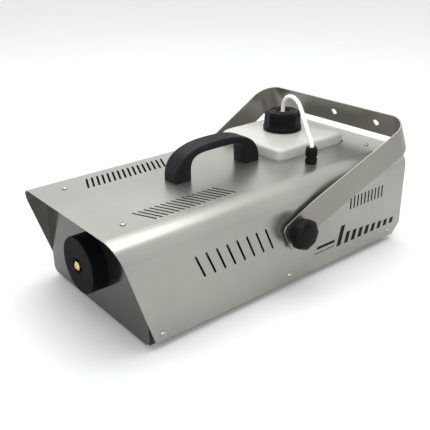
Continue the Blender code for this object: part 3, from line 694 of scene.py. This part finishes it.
@dataclass
class Housing:
    """The cover with its vents, the plates behind it, and the screws."""

    paint: Finishes
    copies: Copies
    sheet: float = 1.2 * MM
    bend: float = 28.0 * MM
    hood_slant: float = 40.7 * MM
    chamfer: float = 16.0 * MM
    slot_width: float = 2.9 * MM
    slot_reach: float = 6.0 * MM
    screw_x: float = 69.0 * MM
    top_screw_y: tuple[float, float] = (-207.0 * MM, 213.0 * MM)
    side_screw_y: tuple[float, float, float] = (-194.5 * MM, 9.3 * MM, 216.5 * MM)
    side_screw_z: float = 18.8 * MM
    gland_hole: float = 8.0 * MM
    tank_gap: float = 1.6 * MM
    tank_squareness: float = 10.5
    rows: tuple[VentRow, ...] = (
        VentRow("Z", -183.0, 7.8, 16, 50.0, (31.0, 13.5)),
        VentRow("X", -145.3, 15.5, 8, 101.3, (14.3, -31.5)),
        VentRow("X", 125.4, 7.6, 10, 98.8, (0.0, -18.8)),
    )

    def outline(self, inset: float) -> Outline:
        """The cover's arch, with a short flat strip before and after each bend."""
        low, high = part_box("top_cover")
        side, top, radius = high[0] - inset, high[2] - inset, self.bend - inset
        bend_x, bend_z, strip = side - radius, top - radius, 0.4 * MM
        left = [(-side, low[2]), (-side, bend_z - strip)]
        left += arc((-bend_x, bend_z), radius, 180, 90, 20) + [(strip - bend_x, top)]
        return left + [(-x, z) for x, z in reversed(left)]

    def vents(self, tools: bmesh.types.BMesh) -> None:
        """Adds the cutter of every slot: one row on each half of the top, and two on each side."""
        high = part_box("top_cover")[1]
        for side in (-1, 1):
            for row in self.rows:
                along = [(row.first + row.pitch * i) * MM for i in range(row.count)]
                if row.axis == "Z":
                    points = [(side * row.level * MM, y, high[2]) for y in along]
                    end = [side * row.run[0] * MM, row.run[1] * MM]
                else:
                    points = [(side * high[0], y, row.level * MM) for y in along]
                    end = [c * MM for c in row.run]
                slot = loose(slot_tool(end, self.slot_width, self.slot_reach, row.axis), "slot")
                merge(tools, self.copies.put("slots", slot, points))
                bpy.data.objects.remove(slot, do_unlink=True)

    def cover(self) -> None:
        """The arch of sheet steel with its slanted hood, vents and openings."""
        low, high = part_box("top_cover")
        bm = bmesh.new()
        outline = self.outline(0.0) + self.outline(self.sheet)[::-1]
        prism(bm, outline, "Y", low[1], high[1])
        shell = loose(bm, "cover_blank")
        slope = self.hood_slant / (high[2] - low[2])
        over, out, past, ahead = 9 * MM, 5 * MM, 2 * MM, low[1] - 20 * MM
        ends = bmesh.new()
        front = [(low[1] + slope * (high[2] - z), z) for z in (high[2] + over, low[2] - over)]
        front += [(ahead, low[2] - over), (ahead, high[2] + over)]
        prism(ends, front, "X", low[0] - out, high[0] + out)
        rear = [(high[1] - self.chamfer - past, low[2] - past), (high[1] + past, low[2] - past),
                (high[1] + past, low[2] + self.chamfer + past)]
        prism(ends, rear, "X", low[0] - out, high[0] + out)
        cut(shell, ends)
        holes = bmesh.new()
        tank_low, tank_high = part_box("tank")
        half = [(tank_high[i] - tank_low[i]) / 2 + self.tank_gap for i in (0, 1)]
        centre = [(tank_high[i] + tank_low[i]) / 2 for i in (0, 1)]
        opening = super_ellipse(half, self.tank_squareness, 128, centre)
        for outline in (opening, arc(GLAND, self.gland_hole, 0, 345, 23)):
            prism(holes, outline, "Z", high[2] - out, high[2] + out)
        for side in (-1, 1):
            near, far = sorted((side * (high[0] - out), side * (high[0] + out)))
            prism(holes, arc(PIVOT, BOLT_HOLE, 0, 345, 23), "X", near, far)
        self.vents(holes)
        cut(shell, holes)
        cut_piece(shell, "cover_shell", self.paint.cover, "housing", ["top_cover"])

    def screws(self) -> None:
        """Domed cross-head screws, one mesh for each row."""
        bm = bmesh.new()
        dome = soften([(0.05, 2.05), (2.2, 1.75), (3.5, 0.6), (3.5, 0.02), (1.5, 0.0), (1.5, -5.0)], 0.7)
        lathe(bm, [(r * MM, z * MM) for r, z in dome], (0.0, 0.0), "Z", 28)
        head = loose(bm, "screw")
        wide, thin = 1.9 * MM, 0.42 * MM
        quarter = [(wide, -thin), (wide, thin), (thin, thin)]
        outline = []
        for _ in range(4):
            outline += quarter
            quarter = [(-y, x) for x, y in quarter]
        cross = bmesh.new()
        prism(cross, outline, "Z", 0.9 * MM, 4 * MM)
        cut(head, cross)
        head = bake(head, "screw_model")
        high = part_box("top_cover")[1]
        gap = 0.3 * MM
        top = [(sx * self.screw_x, y, high[2] + gap) for sx in (-1, 1) for y in self.top_screw_y]
        names = [f"top_screw_{i + 1}" for i in range(4)]
        self.row("top_screws", head, top, (0.0, 0.0, 0.0), names)
        for label, side in (("left", -1), ("right", 1)):
            points = [(side * (high[0] + gap), y, self.side_screw_z) for y in self.side_screw_y]
            names = [f"{label}_screw_{i + 1}" for i in range(3)]
            self.row(f"{label}_screws", head, points, (0.4, side * math.pi / 2, 0.0), names)
        bpy.data.objects.remove(head, do_unlink=True)

    def row(self, name: str, head: bpy.types.Object, points: list[Point], turn: Point,
            nodes: list[str]) -> None:
        """One row of screws that stands for its CAD screws."""
        made = self.copies.put(name, head, points, turn, self.paint.zinc)
        adopt(made, "housing", nodes)

    def mark(self) -> None:
        """A plain printed device on each side: a rule and a row of leaning bars."""
        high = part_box("top_cover")[1]
        proud = 0.06 * MM
        for label, side in (("left", -1), ("right", 1)):
            bm = bmesh.new()
            bars = [(56.0, 33.0, 40.0, 1.2), (60.0, 39.0, 36.0, 4.0), (101.0, 30.0, 8.5, 30.0)]
            bars += [(117.0 + 14.5 * i, 30.0, 8.0, 17.0 - 1.2 * i) for i in range(8)]
            for bar in bars:
                y, z, wide, tall = (c * MM for c in bar)
                lean = tall * 0.25
                outline = [(y, z), (y + wide, z), (y + wide + lean, z + tall), (y + lean, z + tall)]
                face = high[0] + 0.01 * MM
                near, far = sorted((side * face, side * (face + proud)))
                prism(bm, outline, "X", near, far)
            add_piece(f"printed_device_{label}", bm, self.paint.black, "housing")

    def build(self) -> None:
        """Builds the sub-assembly."""
        self.cover()
        self.screws()
        self.mark()
        for node in ("base_tray", "rear_panel", "tank_shelf"):
            repaint(node, self.paint.zinc)
        repaint("front_plate", self.paint.plate)


@dataclass
class Handle:
    """The carry bow: square legs that run into an arched grip with lengthwise grooves."""

    paint: Finishes
    leg: float = 25.0 * MM
    grip: float = 11.0 * MM
    corner: float = 3.0 * MM
    grooves: int = 5
    groove_depth: float = 0.9 * MM
    stations: int = 72
    outer_power: float = 2.6
    inner_power: float = 4.6

    def section(self, thick: float, depth: float) -> list[tuple[float, float]]:
        """The grip's cross-section, as (across, depth under the outer skin).

        Args:
            thick: The section's depth.
            depth: How deep the grooves are here.

        Returns:
            The outline.
        """
        low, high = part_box("handle")
        half = (high[0] - low[0]) / 2
        flat = half - self.corner
        points = []
        steps = self.grooves * 8
        for i in range(steps + 1):
            x = -flat + 2 * flat * i / steps
            wave = 0.5 - 0.5 * math.cos(math.tau * self.grooves * i / steps)
            points.append((x, depth * wave ** 1.5))
        for i in range(1, 6):
            a = math.pi / 2 * i / 6
            points.append((flat + self.corner * math.sin(a), self.corner * (1 - math.cos(a))))
        edge = min(1.6 * MM, thick / 4)
        points += [(half, self.corner), (half, thick - edge), (half - edge * 0.3, thick - edge * 0.3),
                   (half - edge, thick)]
        points += [(edge - half, thick), (edge * 0.3 - half, thick - edge * 0.3), (-half, thick - edge),
                   (-half, self.corner)]
        for i in range(5, 0, -1):
            a = math.pi / 2 * i / 6
            points.append((-flat - self.corner * math.sin(a), self.corner * (1 - math.cos(a))))
        return points

    def on_bow(self, angle: float, half: float, tall: float, power: float) -> Vector:
        """A point on a super-elliptic bow that stands over the handle's middle."""
        low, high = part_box("handle")
        c, s = math.cos(angle), math.sin(angle)
        across = -half * math.copysign(abs(c) ** (2 / power), c)
        middle = (low[1] + high[1]) / 2
        return Vector((0.0, middle + across, low[2] + tall * max(s, 0.0) ** (2 / power)))

    def build(self) -> None:
        """Lofts the bow between its outer and inner curves."""
        low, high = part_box("handle")
        outer_half, rise = (high[1] - low[1]) / 2, high[2] - low[2]
        inner_half, inner_rise = outer_half - self.leg, rise - self.grip
        rings = []
        for i in range(self.stations + 1):
            a = math.pi * i / self.stations
            outside = self.on_bow(a, outer_half, rise, self.outer_power)
            inside = self.on_bow(a, inner_half, inner_rise, self.inner_power)
            thick = (inside - outside).length
            way = (inside - outside).normalized()
            depth = self.groove_depth * min(1.0, max(0.0, (math.sin(a) - 0.25) / 0.3))
            rings.append([tuple(outside + way * d + Vector((x, 0.0, 0.0)))
                          for x, d in self.section(thick, depth)])
        bm = bmesh.new()
        skin(bm, rings)
        add_piece("carry_handle", bm, self.paint.grip, "housing", ["handle"], 50.0)


@dataclass
class Yoke:
    """The strap bracket and the clamp knobs with their spacers."""

    paint: Finishes
    lean: float = math.radians(25.04)
    reach: float = 223.3 * MM
    tail: float = 19.5 * MM
    width: float = 41.0 * MM
    sheet: float = 2.0 * MM
    bend: float = 30.0 * MM
    arm_x: float = 122.5 * MM
    bar_x: float = 140.0 * MM
    hole: float = 5.0 * MM
    holes_x: tuple[float, float, float] = (-79.0 * MM, 0.0, 79.0 * MM)
    knob_flats: int = 8
    knob_head: tuple[tuple[float, float], ...] = (  # (radius, depth behind its face) in millimetres
        (0.1, 0.0), (8.0, 0.2), (13.5, 0.9), (17.8, 2.4), (20.6, 5.2), (21.0, 15.4), (17.5, 18.0),
        (12.5, 18.6))
    neck: float = 12.5 * MM
    stud: float = 3.8 * MM

    def stations(self) -> list[tuple[float, float, float]]:
        """(across, reach, half width) along the strap, from one arm's end to the other."""
        half = self.width / 2
        ends = soften([(0.0, -4.5), (2.75, -2.25), (5.5, 0.0), (9.0, 0.0)], 2.0)
        run = [(self.arm_x, along * MM - self.tail, half + trim * MM) for along, trim in ends]
        splay = ((0.0, 16.0), (0.12, 20.0), (0.7, 30.0), (1.45, 41.0), (2.5, 52.0))
        run += [(self.arm_x + out * MM, along * MM, half) for out, along in splay]
        corner = arc((self.bar_x - self.bend, self.reach - self.bend), self.bend, 0, 90, 20)
        run += [(x, r, half) for x, r in corner]
        run.append((self.bar_x - self.bend - 1 * MM, self.reach, half))
        return run + [(-x, r, h) for x, r, h in reversed(run)]

    def strap(self) -> None:
        """The bent strap with its three hanging holes."""
        along = Vector((0.0, math.cos(self.lean), math.sin(self.lean)))
        broad = Vector((0.0, -math.sin(self.lean), math.cos(self.lean)))
        pivot = Vector((0.0, *PIVOT))
        stations = self.stations()
        edge = 0.35 * MM
        rings = []
        for i, (x, reach, half) in enumerate(stations):
            before, after = stations[max(i - 1, 0)], stations[min(i + 1, len(stations) - 1)]
            run = Vector((after[0] - before[0], after[1] - before[1])).normalized()
            normal = Vector((run.y, 0.0, 0.0)) - along * run.x
            at = pivot + Vector((x, 0.0, 0.0)) + along * reach
            deep = self.sheet / 2
            corners = [(deep - edge, half), (edge - deep, half), (-deep, half - edge), (-deep, edge - half),
                       (edge - deep, -half), (deep - edge, -half), (deep, edge - half), (deep, half - edge)]
            rings.append([tuple(at + normal * d + broad * w) for d, w in corners])
        bm = bmesh.new()
        skin(bm, rings)
        blank = loose(bm, "strap_blank")
        holes = bmesh.new()
        prism(holes, arc(PIVOT, BOLT_HOLE, 0, 345, 23), "X", -self.bar_x, self.bar_x)
        turn = Matrix.Translation(pivot) @ Matrix.Rotation(self.lean, 4, "X")
        for x in self.holes_x:
            hole = bmesh.new()
            prism(hole, arc((x, 0.0), self.hole, 0, 352.5, 47), "Y", self.reach - 8 * MM, self.reach + 8 * MM)
            hole.transform(turn)
            merge(holes, loose(hole, "hole"))
        cut(blank, holes)
        cut_piece(blank, "yoke_strap", self.paint.yoke, "bracket", ["bracket"])

    def knobs(self) -> None:
        """Lobed clamp knobs, each with its stud, and the plain ring spacers under the arms."""
        for label, side in (("left", -1), ("right", 1)):
            low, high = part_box(f"knob_{label}")
            face = (high if side > 0 else low)[0]
            stud = (low if side > 0 else high)[0]
            back = side * (self.arm_x + self.sheet / 2 + 0.3 * MM)
            outline = [(r * MM, face - side * d * MM) for r, d in self.knob_head]
            outline += [(self.neck, back), (self.stud, back), (self.stud, stud), (0.1 * MM, stud)]
            outline = soften(outline, 2.2 * MM, 5)
            bm = bmesh.new()
            lathe(bm, outline, PIVOT, "X", 96, flatted(self.knob_flats, 13.0 * MM, 0.8, 4.0 * MM))
            add_piece(f"clamp_knob_{label}", bm, self.paint.black, f"knob_{label}",
                      [f"knob_{label}"], 45.0)
            s_low, s_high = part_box(f"spacer_{label}")
            ring = [(10.0 * MM, s_low[0]), (10.0 * MM, s_high[0]), (4.4 * MM, s_high[0]),
                    (4.4 * MM, s_low[0]), (10.0 * MM, s_low[0])]
            bm = bmesh.new()
            lathe(bm, ring, PIVOT, "X", 64)
            add_piece(f"arm_spacer_{label}", bm, self.paint.black, "housing",
                      [f"spacer_{label}"])
            repaint(f"pivot_nut_{label}", self.paint.zinc)

    def build(self) -> None:
        """Builds the sub-assembly."""
        self.strap()
        self.knobs()


@dataclass
class Nozzle:
    """The black guard drum and the brass tip in its middle."""

    paint: Finishes
    height: float = 71.5 * MM
    radius: float = 36.5 * MM
    wall: float = 3.0 * MM
    mouth: float = 8.0 * MM

    def build(self) -> None:
        """Builds the guard and the tip."""
        low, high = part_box("nozzle_guard")
        face, back = low[1], high[1]
        inner = self.radius - self.wall
        corners = [(self.radius, back), (self.radius, face), (self.radius - 1.5 * MM, face),
                   (self.mouth + 3.5 * MM, face), (self.mouth + 3.0 * MM, face + 0.8 * MM),
                   (self.mouth, face + 0.8 * MM), (self.mouth, face + self.wall),
                   (inner, face + self.wall), (inner, back)]
        outline = soften(corners, 1.4 * MM, 4)
        bm = bmesh.new()
        lathe(bm, outline + outline[:1], (0.0, self.height), "Y", 128)
        add_piece("guard_drum", bm, self.paint.drum, "housing", ["nozzle_guard"])
        self.tip()
        repaint("vapour_pipe", self.paint.brass)

    def tip(self) -> None:
        """The hexagonal tip, with a domed face and a fine orifice."""
        low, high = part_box("nozzle_tip")
        face = low[1]
        bulk = [(1.0, 3.0), (1.0, 0.5), (1.7, 0.0), (3.4, 0.1), (4.2, 0.8), (5.0, 1.2), (6.2, 1.8),
                (6.2, 7.0), (4.5, 7.2)]
        outline = [(r * MM, face + d * MM) for r, d in bulk]
        outline += [(4.5 * MM, high[1]), (1.6 * MM, high[1]), (1.6 * MM, face + 3.4 * MM), outline[0]]
        bm = bmesh.new()
        lathe(bm, outline, (0.0, self.height), "Y", 72, flatted(6, 4.8 * MM))
        add_piece("brass_tip", bm, self.paint.brass, "housing", ["nozzle_tip"], 30.0)


@dataclass
class Tank:
    """The milky bottle, its faceted cap, the hose to the gland, and the gland."""

    paint: Finishes
    squareness: float = 10.5
    wall: float = 1.8 * MM
    shoulder: float = 158.0 * MM
    neck: float = 20.0 * MM
    cap_flats: int = 8
    hose_radius: float = 2.9 * MM
    bore: float = 3.4 * MM
    route: tuple[Point, ...] = (
        (-27.5, 133.5, 186.0), (-27.0, 133.3, 194.0), (-24.0, 132.0, 202.5), (-15.5, 128.3, 211.5),
        (-3.0, 123.2, 216.5), (10.0, 118.0, 217.5), (21.5, 113.3, 215.0), (31.5, 109.2, 208.5),
        (41.0, 105.3, 198.5), (50.0, 101.7, 188.5), (58.0, 98.4, 180.5), (64.5, 95.8, 174.0),
        (68.2, 94.4, 168.5), (69.0, 94.0, 164.0), (69.0, 94.0, 147.0), (69.0, 94.0, 130.0),
    )

    def __post_init__(self) -> None:
        """Reads the bottle's centre and half sizes from the frame."""
        low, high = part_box("tank")
        self.centre = tuple((low[i] + high[i]) / 2 for i in (0, 1))
        self.half = tuple((high[i] - low[i]) / 2 for i in (0, 1))
        self.foot, self.top = low[2], high[2]

    def ring(self, height: float, inset: float, roundness: float = 0.0,
             radius: float | None = None) -> list[Point]:
        """A ring of the bottle's skin, from its square plan (0) to a circle (1)."""
        count = 96
        square = super_ellipse([h - inset for h in self.half], self.squareness, count, self.centre)
        reach = self.neck if radius is None else radius
        circle = super_ellipse((reach, reach), 2.0, count, self.centre)
        return [(a[0] + (b[0] - a[0]) * roundness, a[1] + (b[1] - a[1]) * roundness, height)
                for a, b in zip(square, circle)]

    def bottle(self) -> None:
        """The blow-moulded bottle, open at its neck."""
        s, f, w = self.shoulder, self.foot, self.wall
        rings = [self.ring(f, 7 * MM), self.ring(f + 0.6 * MM, 4 * MM), self.ring(f + 2 * MM, 1.4 * MM),
                 self.ring(f + 5 * MM, 0.0), self.ring(s - 7 * MM, 0.0), self.ring(s - 4.5 * MM, 0.25 * MM)]
        for i in range(1, 7):
            a = math.pi / 2 * i / 6
            inset = (0.3 + 5.2 * (1 - math.cos(a))) * MM
            rings.append(self.ring(s - 4.5 * MM + 4.6 * MM * math.sin(a), inset))
        for i in range(1, 8):
            share = i / 8
            rise = 0.1 + 3.0 * math.sin(share * math.pi / 2)
            rings.append(self.ring(s + rise * MM, 5.5 * MM, share, self.neck + 4 * MM))
        rings += [self.ring(s + 3.2 * MM, 0.0, 1.0, self.neck + 4 * MM),
                  self.ring(s + 3.6 * MM, 0.0, 1.0, self.neck + 1 * MM),
                  self.ring(s + 4.6 * MM, 0.0, 1.0), self.ring(self.top, 0.0, 1.0),
                  self.ring(self.top, 0.0, 1.0, self.neck - w),
                  self.ring(s + 1.2 * MM, 0.0, 1.0, self.neck - w),
                  self.ring(s - 1.4 * MM, 8.5 * MM), self.ring(s - 7 * MM, w), self.ring(f + 6 * MM, w),
                  self.ring(f + w, 8 * MM)]
        bm = bmesh.new()
        skin(bm, rings)
        add_piece("fluid_bottle", bm, self.paint.milky, "tank", ["tank"], 60.0)
        repaint("dip_tube", self.paint.milky)
        repaint("suction_filter", self.paint.black)

    def cap(self) -> None:
        """The faceted cap: round skirt, eight flats, and a ringed, sunken top round the hose."""
        low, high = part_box("tank_cap")
        base, top = low[2], high[2]
        under = top - 6.0 * MM
        r = 27.0 * MM
        corners = [(self.bore, under), (21.0 * MM, under), (21.0 * MM, base), (r + 1.5 * MM, base),
                   (r + 1.5 * MM, base + 4.6 * MM), (r + 0.2 * MM, base + 7.0 * MM), (r, base + 9.0 * MM),
                   (r - 0.4 * MM, top - 4.0 * MM), (r - 3.0 * MM, top - 0.3 * MM), (19.5 * MM, top),
                   (18.4 * MM, top - 1.6 * MM), (14.6 * MM, top - 1.8 * MM), (14.0 * MM, top - 0.7 * MM),
                   (11.4 * MM, top - 0.7 * MM), (10.6 * MM, top - 3.0 * MM), (6.0 * MM, top - 3.0 * MM),
                   (5.6 * MM, top - 1.8 * MM), (self.bore + 0.5 * MM, top - 1.8 * MM),
                   (self.bore, top - 2.4 * MM)]
        outline = soften(corners, 0.8 * MM, 3)
        bm = bmesh.new()
        shape = flatted(self.cap_flats, 17.0 * MM, 0.9, 1.0 * MM, base + 5.5 * MM)
        lathe(bm, outline + outline[:1], self.centre, "Z", 128, shape)
        add_piece("bottle_cap", bm, self.paint.black, "tank_cap", ["tank_cap"], 28.0)

    def hose(self) -> None:
        """The suction hose, from the cap over a crest and down into the gland."""
        path = smooth_path([tuple(c * MM for c in p) for p in self.route], 2.5 * MM)
        curve = bpy.data.curves.new("suction_line", "CURVE")
        curve.dimensions = "3D"
        curve.bevel_depth = self.hose_radius
        curve.bevel_resolution = 6
        curve.use_fill_caps = True
        curve.materials.append(self.paint.hose)
        spline = curve.splines.new("POLY")
        spline.points.add(len(path) - 1)
        for point, place in zip(spline.points, path):
            point.co = (*place, 1.0)
        line = bpy.data.objects.new("suction_line", curve)
        bpy.context.scene.collection.objects.link(line)
        adopt(line, "tank", ["suction_hose"])
        length = sum((b - a).length for a, b in zip(path, path[1:]))

    def gland_set(self) -> None:
        """The gland's hexagon body and its ribbed nut."""

        def ribbed(radius: float, height: float, angle: float) -> float:
            share = max(0.0, min(1.0, (radius - 6.4 * MM) / (1.2 * MM)))
            return radius - share * 0.5 * MM * (0.5 + 0.5 * math.cos(10 * angle)) ** 2

        low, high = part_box("gland_body")
        skin_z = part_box("top_cover")[1][2] + 0.3 * MM
        corners = [(self.bore, low[2]), (7.4 * MM, low[2]), (7.4 * MM, skin_z), (8.6 * MM, skin_z),
                   (8.6 * MM, skin_z + 6.2 * MM), (6.6 * MM, skin_z + 7.0 * MM), (6.6 * MM, high[2]),
                   (self.bore, high[2])]
        outline = soften(corners, 0.5 * MM, 2)
        bm = bmesh.new()
        lathe(bm, outline + outline[:1], GLAND, "Z", 72, flatted(6, 8.0 * MM))
        add_piece("hose_gland", bm, self.paint.black, "housing", ["gland_body"], 30.0)
        low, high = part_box("gland_nut")
        corners = [(self.bore, low[2]), (7.6 * MM, low[2]), (8.2 * MM, low[2] + 1.5 * MM),
                   (8.2 * MM, high[2] - 4.2 * MM), (7.4 * MM, high[2] - 1.2 * MM), (6.0 * MM, high[2]),
                   (4.6 * MM, high[2]), (self.bore, high[2] - 1.0 * MM)]
        outline = soften(corners, 0.7 * MM, 3)
        bm = bmesh.new()
        lathe(bm, outline + outline[:1], GLAND, "Z", 120, ribbed)
        add_piece("hose_gland_nut", bm, self.paint.black, "housing", ["gland_nut"], 40.0)
        repaint("gland_locknut", self.paint.black)

    def build(self) -> None:
        """Builds the sub-assembly."""
        self.hose()
        self.bottle()
        self.cap()
        self.gland_set()


@dataclass
class Fittings:
    """The rear fittings and the feet, from the CAD solids with eased edges, and everything inside, repainted.
    """

    paint: Finishes
    ease: float = 0.35 * MM

    def eased(self, node: str, body: str, slot: str, material: bpy.types.Material) -> None:
        """Replaces a CAD node with a copy whose edges are rounded.

        Args:
            node: The CAD node.
            body: The body it rides on.
            slot: The record's material slot. It is not used.
            material: Its finish.
        """
        bm = bmesh.new()
        bm.from_mesh(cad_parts[node].data)
        bmesh.ops.remove_doubles(bm, verts=bm.verts, dist=0.005 * MM)
        bmesh.ops.dissolve_limit(bm, angle_limit=math.radians(1.0), verts=bm.verts, edges=bm.edges)
        helper = loose(bm, "eased")
        modifier = helper.modifiers.new("Ease", "BEVEL")
        modifier.width = self.ease
        modifier.segments = 2
        modifier.limit_method = "ANGLE"
        modifier.angle_limit = math.radians(40)
        plain = bake(helper, node + "_eased")
        plain.data.materials.clear()
        plain.data.materials.append(material)
        plain.data.set_sharp_from_angle(angle=math.radians(50))
        adopt(plain, body, [node])

    def build(self) -> None:
        """Dresses every remaining node."""
        p = self.paint
        for node in ("power_inlet", "switch_frame", "fuse_holder", "remote_socket"):
            self.eased(node, "housing", "black_plastic", p.black)
        self.eased("fuse_cap", "fuse_cap", "black_plastic", p.black)
        self.eased("switch_rocker", "switch_rocker", "switch_red", p.red)
        for node in sorted(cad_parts):
            if node.startswith("foot_"):
                self.eased(node, "housing", "black_rubber", p.rubber)
        inside = {
            "heater_block_lower": p.cast, "heater_block_upper": p.cast, "heater_rod": p.zinc,
            "heater_sleeve": p.wool, "heater_stand": p.zinc, "thermostat": p.black, "pump_body": p.brass,
            "pump_coil": p.coil, "pump_plunger": p.zinc, "pump_spring": p.zinc, "pump_bracket": p.zinc,
            "feed_hose": p.milky, "pressure_pipe": p.brass, "board_rails": p.black,
            "control_board": p.board, "transformer": p.core,
        }
        for node, material in inside.items():
            repaint(node, material)


# ---------------------------------------------------------------- studio


@dataclass
class Studio:
    """A pale floor, soft light and the camera."""

    azimuth: float = math.radians(51.06)
    elevation: float = math.radians(24.7)
    roll: float = math.radians(-0.78)
    eye: Point = (0.6262, -0.5265, 0.4448)
    lens: float = 53.41

    def camera(self) -> None:
        """The camera, looking down at the hood from the front right."""
        az, el = self.azimuth, self.elevation
        forward = Vector((-math.sin(az) * math.cos(el), math.cos(az) * math.cos(el), -math.sin(el)))
        right = Vector((math.cos(az), math.sin(az), 0.0))
        up = right.cross(forward)
        side = right * math.cos(self.roll) + up * math.sin(self.roll)
        top = up * math.cos(self.roll) - right * math.sin(self.roll)
        data = bpy.data.cameras.new("camera")
        data.lens = self.lens
        data.sensor_width = 36.0
        data.clip_start = 0.01
        view = bpy.data.objects.new("camera", data)
        view.matrix_world = Matrix.Translation(self.eye) @ Matrix((side, top, -forward)).transposed().to_4x4()
        bpy.context.scene.collection.objects.link(view)
        bpy.context.scene.camera = view

    def area(self, name: str, at: Point, size: tuple[float, float], power: float,
             aim: Point = (0.0, 0.0, 0.07)) -> None:
        """A rectangular softbox that faces a point."""
        data = bpy.data.lights.new(name, "AREA")
        data.shape = "RECTANGLE"
        data.size, data.size_y = size
        data.energy = power
        light = bpy.data.objects.new(name, data)
        light.location = at
        light.rotation_euler = (Vector(aim) - Vector(at)).to_track_quat("-Z", "Y").to_euler()
        bpy.context.scene.collection.objects.link(light)

    def world(self) -> None:
        """A pale room, evenly bright all round."""
        world = bpy.data.worlds.new("studio")
        bpy.context.scene.world = world
        world.use_nodes = True
        world.node_tree.nodes["Background"].inputs["Color"].default_value = colour(0.93, 0.94, 0.95)
        world.node_tree.nodes["Background"].inputs["Strength"].default_value = 1.3

    def floor(self) -> None:
        """A wide pale floor."""
        s = Sheet("studio_floor")
        dust = s.noise(s.place(), 6.0, 3.0)
        tone = s.mix(dust, colour(0.62, 0.62, 0.62), colour(0.65, 0.65, 0.65))
        material = s.finish(Base_Color=tone, Roughness=0.7)
        bm = bmesh.new()
        bmesh.ops.create_circle(bm, cap_ends=True, radius=6.0, segments=96)
        ground = loose(bm, "studio_floor")
        ground.data.materials.append(material)

    def build(self) -> None:
        """Sets up the studio."""
        bpy.context.scene.view_settings.view_transform = "Standard"
        self.camera()
        self.world()
        self.floor()
        self.area("overhead", (0.0, 0.1, 1.5), (1.2, 1.2), 16.0)
        self.area("front_right", (1.3, -1.1, 0.9), (0.9, 0.9), 8.0)
        self.area("left_rear", (-1.4, 0.5, 1.9), (1.0, 1.0), 6.0)


def main() -> None:
    """Builds the studio and the machine."""
    logging.basicConfig(level=logging.INFO, format="%(name)s: %(message)s")
    Studio().build()
    paint = Finishes()
    copies = Copies()
    for assembly in (Tank(paint), Housing(paint, copies), Handle(paint), Yoke(paint), Nozzle(paint),
                     Fittings(paint)):
        assembly.build()
        LOG.info("%s is built", type(assembly).__name__)


if __name__ == "__main__":
    main()
